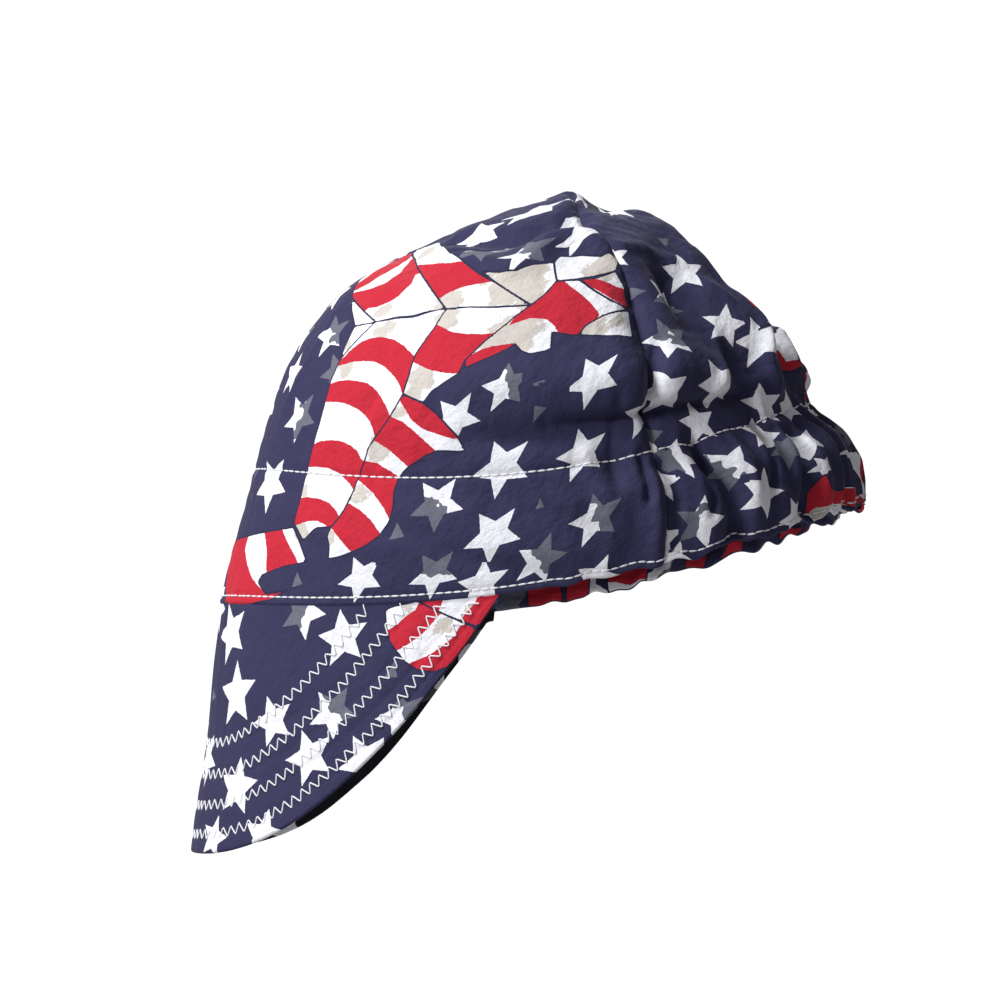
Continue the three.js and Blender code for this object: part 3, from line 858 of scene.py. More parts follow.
PEAK_RIBBONS = (
    Ribbon(((385, 610), (394, 606), (405, 604), (417, 601), (448, 616), (479, 632), (466, 654), (452, 671),
            (434, 672), (417, 670), (405, 662), (396, 651), (389, 640), (386, 625)),
           (((378, 636), (386, 631), (397, 625), (405, 617), (415, 610), (421, 600), (444, 612), (438, 616),
             (430, 626), (420, 636), (407, 645), (396, 651), (386, 656)),
            ((400, 668), (412, 662), (427, 656), (440, 648), (453, 637), (463, 622), (490, 634), (474, 660),
             (454, 680), (426, 684)))),
    Ribbon(((417, 601), (426, 594), (460, 590), (502, 592), (492, 616), (480, 632), (448, 616)),
           (((412, 600), (426, 588), (448, 584), (450, 593), (443, 600), (438, 613), (424, 610)),
            ((450, 630), (458, 622), (467, 612), (475, 603), (480, 586), (512, 586), (504, 612),
             (486, 642)))),
    all_red((463, 658), (470, 650), (452, 676), (434, 700), (422, 712), (430, 698), (446, 678)),
)

HEM_RIBBONS = (
    all_red((526, 586), (560, 580), (563, 608), (527, 612)),
    all_red((566, 580), (590, 574), (590, 604), (566, 606)),
    Ribbon(((607, 570), (650, 562), (648, 584), (634, 600), (610, 600)),
           (((604, 560), (654, 556), (652, 580), (630, 585), (606, 582)),)),
    all_red((690, 554), (710, 548), (712, 576), (692, 580)),
    all_red((726, 546), (746, 540), (748, 566), (728, 570)),
    all_red((783, 526), (804, 522), (804, 542), (784, 546)),
)

HEM_STARS = (Star(508, 603, 0, 8.0, G), Star(590, 640, 10, 7.6), Star(668, 590, -20, 7.2, H, 90))

FRONT_BLOTCHES = (
    Blotch(427, 254, 3.6), Blotch(382, 310, 3.0), Blotch(452, 301, 4.2), Blotch(448, 318, 3.4),
    Blotch(516, 283, 8.2), Blotch(485, 274, 4.0), Blotch(532, 294, 4.6), Blotch(602, 267, 4.8),
    Blotch(520, 331, 6.6), Blotch(499, 339, 5.0), Blotch(596, 327, 5.0), Blotch(614, 321, 2.6),
    Blotch(384, 330, 3.4), Blotch(419, 380, 4.0), Blotch(413, 393, 3.0), Blotch(346, 366, 2.4),
    Blotch(399, 412, 2.4), Blotch(379, 449, 3.8), Blotch(360, 496, 2.6), Blotch(331, 538, 1.8),
    Blotch(301, 531, 2.8), Blotch(305, 493, 1.5), Blotch(262, 588, 1.8), Blotch(346, 344, 1.6),
)

REAR_BLOTCHES = (Blotch(768, 327, 2.6), Blotch(799, 366, 2.2), Blotch(822, 510, 2.4), Blotch(846, 506, 2.0))

PEAK_BLOTCHES = (Blotch(407, 608, 2.4), Blotch(446, 627, 2.8), Blotch(470, 616, 1.6))

FRONT_MARKS = Marks(FRONT_STARS, FRONT_RIBBONS, FRONT_BLOTCHES)
REAR_MARKS = Marks(REAR_STARS, REAR_RIBBONS, REAR_BLOTCHES)
PEAK_MARKS = Marks(PEAK_STARS, PEAK_RIBBONS, PEAK_BLOTCHES)
HEM_MARKS = Marks(HEM_STARS, HEM_RIBBONS)


@dataclass
class PlacedStar:
    """A star on a flat pattern."""

    middle: np.ndarray
    toward: np.ndarray
    radius: float
    ink: Ink
    split: np.ndarray


@dataclass
class PlacedBlotch:
    """A tan blotch on a flat pattern."""

    middle: np.ndarray
    radius: float


@dataclass
class PlacedRibbon:
    """A striped piece on a flat pattern."""

    outline: np.ndarray
    reds: list[np.ndarray]

    def inside(self, spots: np.ndarray) -> np.ndarray:
        """Signed distance of each spot from the outline, negative inside."""
        return polygon_distance(spots, self.outline)

    def wave(self, spots: np.ndarray) -> np.ndarray:
        """Distance from the nearest change of stripe, positive on red."""
        depth = np.full(spots.shape[:-1], -FAR_OFF)
        for red in self.reds:
            depth = np.maximum(depth, -polygon_distance(spots, red))
        return depth


def polygon_distance(spots: np.ndarray, outline: np.ndarray) -> np.ndarray:
    """Signed distance of spots from a closed outline, negative inside."""
    nearest = np.full(spots.shape[:-1], np.inf)
    crossings = np.zeros(spots.shape[:-1], dtype=int)
    x, y = spots[..., 0], spots[..., 1]
    for start, end in zip(outline, np.roll(outline, -1, axis=0)):
        line = end - start
        part = np.clip(((spots - start) @ line) / max(line @ line, TINY), 0, 1)
        away = spots - start - part[..., None] * line
        nearest = np.minimum(nearest, np.linalg.norm(away, axis=-1))
        straddles = (start[1] > y) != (end[1] > y)
        slope = (end[0] - start[0]) / (end[1] - start[1] if end[1] != start[1] else TINY)
        crossings += straddles & (x < start[0] + (y - start[1]) * slope)
    return np.where(crossings % 2 == 1, -nearest, nearest)


@dataclass
class Print:
    """The print on one piece of cloth: its stars and striped pieces on the flat pattern."""

    stars: list[PlacedStar]
    ribbons: list[PlacedRibbon]
    blotches: list[PlacedBlotch]

    @classmethod
    def from_marks(cls, sheet: Sheet, sight: Sight, side: Side, marks: Marks) -> "Print":
        """Carries marks from the photograph's frame on to the flat pattern.

        Args:
            sheet: the piece of cloth.
            sight: the camera that the marks were read from.
            side: the half of the cap that they are on.
            marks: the marks that show on it.

        Returns:
            The print, with each mark where the camera sees it.
        """
        def spot(across: float, down: float) -> np.ndarray:
            """The spot on the flat pattern that shows at a pixel."""
            return sheet.place_of(sight, side, across, down)

        stars = []
        for star in marks.stars:
            middle = spot(star.across, star.down)
            to_tip = TIP_REACH * heading(math.radians(star.turn))
            toward = spot(star.across + to_tip[0], star.down - to_tip[1]) - middle
            toward = unit(toward) if toward.any() else heading(0.0)
            if star.ink is S:
                middle = middle - toward * star.radius * SHARD_MIDDLE
            split = heading(math.radians(star.split))
            stars.append(PlacedStar(middle, toward, star.radius, star.ink, split))
        ribbons = []
        for ribbon in marks.ribbons:
            outline, *reds = (np.array([spot(*corner) for corner in corners])
                              for corners in (ribbon.outline, *ribbon.reds))
            ribbons.append(PlacedRibbon(outline, reds))
        return cls(stars, ribbons, [PlacedBlotch(spot(b.across, b.down), b.radius) for b in marks.blotches])

    def turned(self, middle: np.ndarray) -> "Print":
        """The same print turned half round about a spot, as another cut from the same cloth."""
        across = 2 * middle
        return Print(
            [PlacedStar(across - s.middle, -s.toward, s.radius, s.ink, s.split) for s in self.stars],
            [PlacedRibbon(across - r.outline, [across - red for red in r.reds]) for r in self.ribbons],
            [PlacedBlotch(across - b.middle, b.radius) for b in self.blotches],
        )

    def scatter(self, spots: np.ndarray, seed: int) -> None:
        """Fills the bare cloth with more stars, clear of the others and of the striped pieces.

        Args:
            spots: the places on the flat pattern that a star may have.
            seed: what the random draws start from.
        """
        rng = np.random.default_rng(seed)
        for _ in range(SCATTER_TRIES):
            spot = spots[rng.integers(len(spots))]
            ink = SCATTER_INKS[rng.integers(len(SCATTER_INKS))]
            toward, split = heading(rng.uniform(0, TURN)), heading(rng.uniform(0, TURN))
            radius = rng.uniform(*SCATTER_RADII)
            if any(np.linalg.norm(spot - star.middle) < STAR_SPACING for star in self.stars):
                continue
            if any(ribbon.inside(spot[None])[0] < RIBBON_CLEARANCE * radius for ribbon in self.ribbons):
                continue
            self.stars.append(PlacedStar(spot, toward, radius, ink, split))

    def star_fields(self, corners: np.ndarray, centres: np.ndarray) -> tuple[np.ndarray, np.ndarray]:
        """The nearest star's own coordinates at each corner of each face, and how it is split."""
        place = np.full((*corners.shape[:2], 3), PAST_STAR)
        split = np.zeros_like(place)
        reach = np.stack([np.linalg.norm(centres - s.middle, axis=1) / s.radius for s in self.stars])
        nearest = np.argmin(reach, axis=0)
        for k, star in enumerate(self.stars):
            mine = nearest == k
            away = (corners[mine] - star.middle) / star.radius
            aside = np.array([star.toward[1], -star.toward[0]])
            place[mine, :, 0] = away @ aside
            place[mine, :, 1] = away @ star.toward
            place[mine, :, 2] = 0.0 if star.ink in (G, S) else 1.0
            split[mine] = (*star.split, SPLIT_OFFSETS[star.ink])
        return place, split

    def ribbon_fields(self, corners: np.ndarray, centres: np.ndarray) -> np.ndarray:
        """Distances from the nearest striped piece, from a change of stripe, and from the nearest blotch."""
        fields = np.full((*corners.shape[:2], 3), FAR_OFF)
        if self.blotches:
            reach = np.stack([np.linalg.norm(centres - b.middle, axis=1) - b.radius for b in self.blotches])
            nearest = np.argmin(reach, axis=0)
            for k, blotch in enumerate(self.blotches):
                mine = nearest == k
                fields[mine, :, 2] = np.linalg.norm(corners[mine] - blotch.middle, axis=-1) - blotch.radius
        depth = np.stack([ribbon.inside(centres) for ribbon in self.ribbons])
        nearest = np.argmin(depth, axis=0)
        for k, ribbon in enumerate(self.ribbons):
            mine = (nearest == k) & (depth[k] < RIBBON_REACH)
            fields[mine, :, 0] = ribbon.inside(corners[mine])
            fields[mine, :, 1] = ribbon.wave(corners[mine])
        return fields


def math_node(operation: str, swapped: bool = False) -> Callable[..., "Value"]:
    """Makes a method of Value that adds one Math node.

    Args:
        operation: the node's operation.
        swapped: whether the other value comes first.

    Returns:
        The method, which takes another value where the operation has two.
    """
    def method(value: "Value", other: "Value | float" = 0.0) -> "Value":
        """Adds the node, and gives its result."""
        first, second = (other, value) if swapped else (value, other)
        return value.graph.add("ShaderNodeMath", {"operation": operation}, {0: first, 1: second})
    return method


class Value:
    """A socket that takes part in Python sums. Each operation adds its Math node."""

    def __init__(self, graph: "Graph", socket: bpy.types.NodeSocket) -> None:
        """Wraps one output of a graph's node."""
        self.graph = graph
        self.socket = socket

    __add__ = __radd__ = math_node("ADD")
    __sub__ = math_node("SUBTRACT")
    __rsub__ = math_node("SUBTRACT", swapped=True)
    __mul__ = __rmul__ = math_node("MULTIPLY")
    __gt__ = math_node("GREATER_THAN")
    __lt__ = math_node("LESS_THAN")
    __mod__ = math_node("FLOORED_MODULO")
    __abs__ = math_node("ABSOLUTE")
    sin = math_node("SINE")
    cos = math_node("COSINE")
    root = math_node("SQRT")
    angle_from = math_node("ARCTAN2")


class Graph:
    """A node tree of any kind, with one method that adds any node."""

    def __init__(self, tree: bpy.types.NodeTree) -> None:
        """Wraps a tree."""
        self.tree = tree

    def add(self, kind: str, settings: dict[str, object] | None = None,
            sockets: dict[int | str, object] | None = None, output: int | str = 0) -> Value:
        """Adds a node.

        Args:
            kind: the node's type.
            settings: its properties, set before its sockets.
            sockets: a value or a link for each socket, by name or by number.
            output: the output that is wanted.

        Returns:
            That output, as a value.
        """
        node = self.tree.nodes.new(kind)
        for key, setting in (settings or {}).items():
            setattr(node, key, setting)
        for key, value in (sockets or {}).items():
            self.feed(self.socket(node.inputs, key), value)
        return Value(self, self.socket(node.outputs, output))

    @staticmethod
    def socket(sockets: bpy.types.bpy_prop_collection, key: int | str) -> bpy.types.NodeSocket:
        """The socket in use that has a name, or that stands at a number."""
        if isinstance(key, int):
            return sockets[key]
        return next(socket for socket in sockets if socket.name == key and socket.enabled)

    def feed(self, socket: bpy.types.NodeSocket, value: object) -> None:
        """Links a value to a socket, or sets a plain number or colour on it."""
        if isinstance(value, Value):
            self.tree.links.new(value.socket, socket)
        else:
            socket.default_value = value

    def numbers(self, vector: Value) -> tuple[Value, Value, Value]:
        """The three numbers of a vector."""
        split = self.tree.nodes.new("ShaderNodeSeparateXYZ")
        self.feed(split.inputs[0], vector)
        return tuple(Value(self, out) for out in split.outputs)


class Paint(Graph):
    """A material in the making."""

    def __init__(self, name: str) -> None:
        """Starts an empty material with a principled shader."""
        self.material = bpy.data.materials.new(name)
        self.material.use_nodes = True
        super().__init__(self.material.node_tree)
        self.tree.nodes.clear()
        self.shader = self.tree.nodes.new("ShaderNodeBsdfPrincipled")
        output = self.tree.nodes.new("ShaderNodeOutputMaterial")
        self.tree.links.new(self.shader.outputs[0], output.inputs[0])

    def mix(self, factor: Value, first: object, second: object) -> Value:
        """Colour between two others."""
        return self.add("ShaderNodeMix", {"data_type": "RGBA", "clamp_factor": True},
                        {"Factor": factor, "A": first, "B": second}, "Result")

    def attribute(self, name: str) -> tuple[Value, Value, Value]:
        """The three numbers of an attribute of the piece."""
        return self.numbers(self.add("ShaderNodeAttribute", {"attribute_name": name}, {}, "Vector"))

    def place(self) -> Value:
        """Object coordinates."""
        return self.add("ShaderNodeTexCoord", output="Object")

    def noise(self, vector: Value, scale: float, detail: float = 2.0, roughness: float = 0.5) -> Value:
        """Smooth noise between 0 and 1, with its middle at a half."""
        return self.add("ShaderNodeTexNoise", {"noise_dimensions": "3D"},
                        {"Vector": vector, "Scale": scale, "Detail": detail, "Roughness": roughness}, "Fac")

    def grain(self, vector: Value, scale: float, detail: float = 2.0, roughness: float = 0.5) -> Value:
        """The same noise between -0.5 and 0.5."""
        return self.noise(vector, scale, detail, roughness) - 0.5

    def bump(self, height: Value, strength: float, distance: float, under: Value | None = None) -> Value:
        """Relief from a height, on top of another relief where one is given."""
        sockets = {"Strength": strength, "Distance": distance, "Height": height}
        if under is not None:
            sockets["Normal"] = under
        return self.add("ShaderNodeBump", {}, sockets, "Normal")

    def finish(self, sockets: dict[str, object]) -> bpy.types.Material:
        """Feeds the shader's sockets by name, and gives the finished material."""
        for name, value in sockets.items():
            self.feed(self.shader.inputs[name], value)
        return self.material


Colour = tuple[float, float, float, float]


def srgb(red: int, green: int, blue: int) -> Colour:
    """Linear colour from the usual 0 to 255 numbers."""
    def linear(level: int) -> float:
        """One channel without the display's curve."""
        share = level / 255
        return share / 12.92 if share <= 0.04045 else ((share + 0.055) / 1.055) ** 2.4
    return (linear(red), linear(green), linear(blue), 1.0)


@dataclass(frozen=True)
class PrintedCotton:
    """Printed plain-weave cotton: stars and stripes from the piece's attributes, on a navy ground.

    The outline is in millimetres, as the ribbons' attribute is, and the waist of a star is a share of its
    radius. Pitch and depths are metres. Scales count the waves of noise in a metre of cloth.
    """

    navy: Colour = srgb(52, 51, 83)
    navy_deep: Colour = srgb(47, 44, 76)
    white: Colour = srgb(229, 229, 237)
    grey: Colour = srgb(100, 102, 116)
    red: Colour = srgb(184, 35, 53)
    ink: Colour = srgb(38, 40, 66)
    tan: Colour = srgb(196, 190, 184)
    outline: float = 0.27
    star_waist: float = 0.47
    thread_pitch: float = 0.00042
    weave_depth: float = 0.00004
    crumple_depth: float = 0.0016
    fade_scale: float = 55.0
    patch_scale: float = 60.0
    crumple_scale: float = 120.0
    tear_scale: float = 260.0
    wear_scale: float = 300.0
    slub_scale: float = 700.0
    fray_scale: float = 900.0
    speck_scale: float = 1500.0
    fleck_scale: float = 2400.0

    def star_edge(self, x: Value, y: Value) -> Value:
        """Signed distance from a five-pointed star's edge in shares of its radius, negative inside."""
        fifth = TURN / 5
        folded = abs((x.angle_from(y) + fifth / 2) % fifth - fifth / 2)
        reach = (x * x + y * y).root()
        edge_x = self.star_waist * math.cos(fifth / 2) - 1
        edge_y = self.star_waist * math.sin(fifth / 2)
        length = math.hypot(edge_x, edge_y)
        return (reach * folded.cos() - 1.0) * (edge_y / length) - reach * folded.sin() * (edge_x / length)

    def make(self, name: str) -> bpy.types.Material:
        """Builds the material."""
        paint = Paint(name)
        cloth = paint.add("ShaderNodeUVMap", {"uv_map": "cloth"})
        frayed = paint.grain(cloth, self.fray_scale)
        torn = paint.grain(cloth, self.tear_scale, 1.0)
        x, y, is_white = paint.attribute("star")
        split_x, split_y, split_at = paint.attribute("split")
        into, stripe, stain = paint.attribute("ribbon")
        in_star = (self.star_edge(x, y) + frayed * 0.04) < 0.0
        tear = torn * 1.3 * (split_at < 0.2)
        past_split = (x * split_x + y * split_y + tear + frayed * 0.06) > split_at
        patchy = paint.grain(cloth, self.patch_scale, 4.0, 0.6)
        speckle = paint.grain(cloth, self.speck_scale)
        stained = (stain + patchy * 9.0 + torn * 6.0 + speckle * 2.5) < 0.0
        pale = paint.mix(stained, self.white, self.tan)
        stripes = paint.mix((stripe + frayed * 0.5) > 0.0, pale, self.red)
        colour = paint.mix(paint.noise(cloth, self.fade_scale, 3.0), self.navy_deep, self.navy)
        for part, ink in (
            (in_star * is_white * (1.0 - past_split), self.white),
            (in_star * past_split, self.grey),
            (into < 0.0, stripes),
            ((abs(into) + frayed * 0.2) < self.outline, self.ink),
        ):
            colour = paint.mix(part, colour, ink)
        weave = self.weave(paint, cloth)
        fleck = paint.grain(cloth, self.fleck_scale, 2.0, 0.7)
        # The weave term darkens the colour between the threads, painted shade in the weave's hollows; fleck
        # and slub are random tone.
        shade = 0.93 + 0.07 * weave + fleck * 0.55 + paint.grain(cloth, self.slub_scale) * 0.20
        colour = paint.add("ShaderNodeVectorMath", {"operation": "SCALE"}, {0: colour, "Scale": shade})
        crumple = paint.noise(cloth, self.crumple_scale, 5.0, 0.62)
        return paint.finish({
            "Base Color": colour,
            "Roughness": 0.78 + paint.noise(cloth, self.wear_scale) * 0.14,
            "Specular IOR Level": 0.20,
            "Sheen Weight": 0.04,
            "Sheen Roughness": 0.45,
            "Normal": paint.bump(crumple, 0.8, self.crumple_depth, paint.bump(weave, 0.35, self.weave_depth)),
        })

    def weave(self, paint: Paint, cloth: Value) -> Value:
        """Height of a plain weave, 0 between the threads and 1 on top of them."""
        u, v, _ = paint.numbers(cloth)
        rate = math.pi / self.thread_pitch
        warp, weft = abs((u * rate).sin()), abs((v * rate).sin())
        over = ((u * rate * 0.5 + 0.25).sin() * (v * rate * 0.5).sin()) > 0.0
        return warp * over + weft * (1.0 - over)


@dataclass(frozen=True)
class CottonBack(PrintedCotton):
    """The unprinted side of the cloth, where the print shows through faintly."""

    navy: Colour = srgb(112, 112, 140)
    navy_deep: Colour = srgb(104, 103, 130)
    white: Colour = srgb(214, 214, 220)
    grey: Colour = srgb(150, 152, 164)
    red: Colour = srgb(196, 112, 120)
    ink: Colour = srgb(108, 108, 132)
    tan: Colour = srgb(200, 196, 192)


@dataclass(frozen=True)
class PeakUndersideInPaintedShade(PrintedCotton):
    """The underside of the peak: the same stars and stripes on a ground that is almost black. Its navy, grey,
    red and ink are darkened copies of the printed cloth's, painted shade for the shadow under the peak.
    """

    navy: Colour = srgb(30, 28, 40)
    navy_deep: Colour = srgb(24, 22, 32)
    grey: Colour = srgb(86, 84, 88)
    red: Colour = srgb(176, 34, 46)
    ink: Colour = srgb(26, 26, 34)


@dataclass(frozen=True)
class SewingThread:
    """White spun thread."""

    colour: Colour = srgb(236, 236, 240)
    shade: Colour = srgb(206, 206, 214)
    fibre_scale: float = 2400.0
    fibre_depth: float = 0.00008

    def make(self, name: str) -> bpy.types.Material:
        """Builds the material."""
        paint = Paint(name)
        fibre = paint.noise(paint.place(), self.fibre_scale, 3.0)
        return paint.finish({
            "Base Color": paint.mix(fibre, self.shade, self.colour),
            "Roughness": 0.6 + fibre * 0.25,
            "Sheen Weight": 0.2,
            "Normal": paint.bump(fibre, 0.5, self.fibre_depth),
        })


@dataclass(frozen=True)
class GreyPaper:
    """The plain grey floor."""

    colour: Colour = srgb(168, 168, 168)
    grain_colour: Colour = srgb(163, 163, 163)
    grain_scale: float = 40.0

    def make(self, name: str) -> bpy.types.Material:
        """Builds the material."""
        paint = Paint(name)
        colour = paint.mix(paint.noise(paint.place(), self.grain_scale), self.grain_colour, self.colour)
        return paint.finish({"Base Color": colour, "Roughness": 0.9})


@dataclass
class Cottons:
    """The finishes that the cap's pieces share."""

    printed: bpy.types.Material
    back: bpy.types.Material
    # The darker copy of the print for the peak's underside: painted shade for the shadow under the peak.
    underside_painted_shade: bpy.types.Material
    thread: bpy.types.Material

    @classmethod
    def make(cls) -> "Cottons":
        """Builds each finish once."""
        return cls(PrintedCotton().make("printed_cotton"), CottonBack().make("cotton_back"),
                   PeakUndersideInPaintedShade().make("peak_underside_painted_shade"), SewingThread().make("white_thread"))


def wall_object(name: str, sheet: Sheet, design: Print, face: bpy.types.Material,
                back: bpy.types.Material) -> bpy.types.Object:
    """Makes a closed cloth wall from a sheet, with its print and its flat pattern.

    Args:
        name: the piece's name.
        sheet: its grids of points.
        design: its print.
        face: the finish of its printed side.
        back: the finish of its other side.

    Returns:
        The new object, linked to the scene.
    """
    rows, columns = sheet.face.shape[:2]
    spans = columns if sheet.closed else columns - 1
    row, column = np.meshgrid(np.arange(rows - 1), np.arange(spans), indexing="ij")
    row, column = row.ravel(), column.ravel()
    front = np.stack([np.stack(pair, -1) for pair in (
        (row, column), (row, column + 1), (row + 1, column + 1), (row + 1, column))], axis=1)
    cells = [(front, np.zeros(front.shape[:2], int)), (front[:, ::-1], np.ones(front.shape[:2], int))]
    run = np.arange(spans)
    for edge, order in ((0, (1, 1, 0, 0)), (rows - 1, (0, 0, 1, 1))):
        strip = np.stack([np.stack([np.full(spans, edge), run + step], -1) for step in (0, 1, 1, 0)], axis=1)
        cells.append((strip, np.tile(order, (spans, 1))))
    if not sheet.closed:
        climb = np.arange(rows - 1)
        for edge, order in ((0, (1, 0, 0, 1)), (columns - 1, (0, 1, 1, 0))):
            strip = np.stack([np.stack([climb + step, np.full(rows - 1, edge)], -1)
                              for step in (0, 0, 1, 1)], axis=1)
            cells.append((strip, np.tile(order, (rows - 1, 1))))
    place = np.concatenate([cell for cell, _ in cells])
    layer = np.concatenate([order for _, order in cells])
    index = layer * rows * columns + place[..., 0] * columns + place[..., 1] % columns
    corners = sheet.flat[place[..., 0], place[..., 1]]
    is_back = np.all(layer == 1, axis=1)
    vertices = np.concatenate([sheet.face.reshape(-1, 3), sheet.back.reshape(-1, 3)]) * METRES
    mesh = bpy.data.meshes.new(name)
    mesh.from_pydata(vertices.tolist(), [], index.tolist())
    mesh.polygons.foreach_set("use_smooth", np.ones(len(index), bool))
    mesh.materials.append(face)
    mesh.materials.append(back)
    mesh.polygons.foreach_set("material_index", is_back.astype(np.int32))
    uv = mesh.uv_layers.new(name="cloth")
    uv.data.foreach_set("uv", (corners * METRES).astype(np.float32).ravel())
    centres = corners.mean(axis=1)
    star, split = design.star_fields(corners, centres)
    ribbon = design.ribbon_fields(corners, centres)
    for label, values in (("star", star), ("split", split), ("ribbon", ribbon)):
        field = mesh.attributes.new(label, "FLOAT_VECTOR", "CORNER")
        field.data.foreach_set("vector", values.astype(np.float32).ravel())
    mesh.update()
    return add_object(name, mesh)


def adopt(piece: bpy.types.Object, node: str | None = None) -> None:
    """Fixes a piece to the cap's body and the solid that it stands for."""
    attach(piece, BODY)
    if node:
        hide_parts(node)
    log.info("%s: %d faces", piece.name, len(piece.data.polygons))


@dataclass(frozen=True)
class Gore:
    """One quarter of the crown, between a centre seam and a side seam."""

    side: Side
    is_rear: bool
    front_columns: int = 190
    rear_columns: int = 120
    row_height: float = 0.85
    cloth: float = 0.5
    crest_share: float = 0.990

    @property
    def name(self) -> str:
        """The name of the solid that it stands for."""
        return f"crown_{'rear' if self.is_rear else 'front'}_{self.side.name.lower()}"

    @property
    def columns(self) -> int:
        """How many points there are across it."""
        return self.rear_columns if self.is_rear else self.front_columns

    def angles(self, form: CrownForm, up: np.ndarray) -> np.ndarray:
        """Angles of the columns at each height, in the order that turns the face outwards."""
        share = np.linspace(0, 1, self.columns)[None, :]
        seam = form.seam_angle(up)[:, None]
        first, last = (seam, math.pi) if self.is_rear else (0.0, seam)
        if self.side is Side.RIGHT:
            first, last = -last, -first
        return first + (last - first) * share

    def sheet(self, form: CrownForm) -> Sheet:
        """The gore's cloth."""
        rise = self.crest_share * form.profile_length - form.rim_roll
        up = form.heights(self.crest_share, int(rise / self.row_height))
        angle = self.angles(form, up)
        height = np.broadcast_to(up[:, None], angle.shape)
        normal = form.normal(angle, height)
        face = form.folded(angle, height) - normal * form.roll_depth(height)[..., None]
        back = face - normal * form.thickness(self.cloth, height)[..., None]
        return Sheet(face, back, flat_pattern(form.smooth(angle, height)))


@dataclass(frozen=True)
class TurnedHem:
    """The hem turned up inside the gores, printed side towards the head."""

    columns: int = 560
    rows: int = 46
    top: float = 0.262
    cloth: float = 0.5
    lap: float = 4.0

    def sheet(self, form: CrownForm) -> Sheet:
        """The hem's cloth, which lies closer to the gores where it is stitched to them at the top."""
        up = form.heights(self.top, self.rows)
        height = np.broadcast_to(up[:, None], (len(up), self.columns + 1))
        angle = np.broadcast_to(np.linspace(math.pi, -math.pi, self.columns + 1), height.shape)
        lapped = 1 - smoothstep((self.top - height) * form.profile_length, 0, self.lap)
        depth = 2 * form.rim_roll - form.roll_depth(height) - lapped * (form.rim_roll - self.cloth)
        face = form.folded(angle, height, depth)
        back = form.folded(angle, height, depth - form.thickness(self.cloth, height))
        return Sheet(face[:, :-1], back[:, :-1], flat_pattern(form.smooth(angle, height)), True)


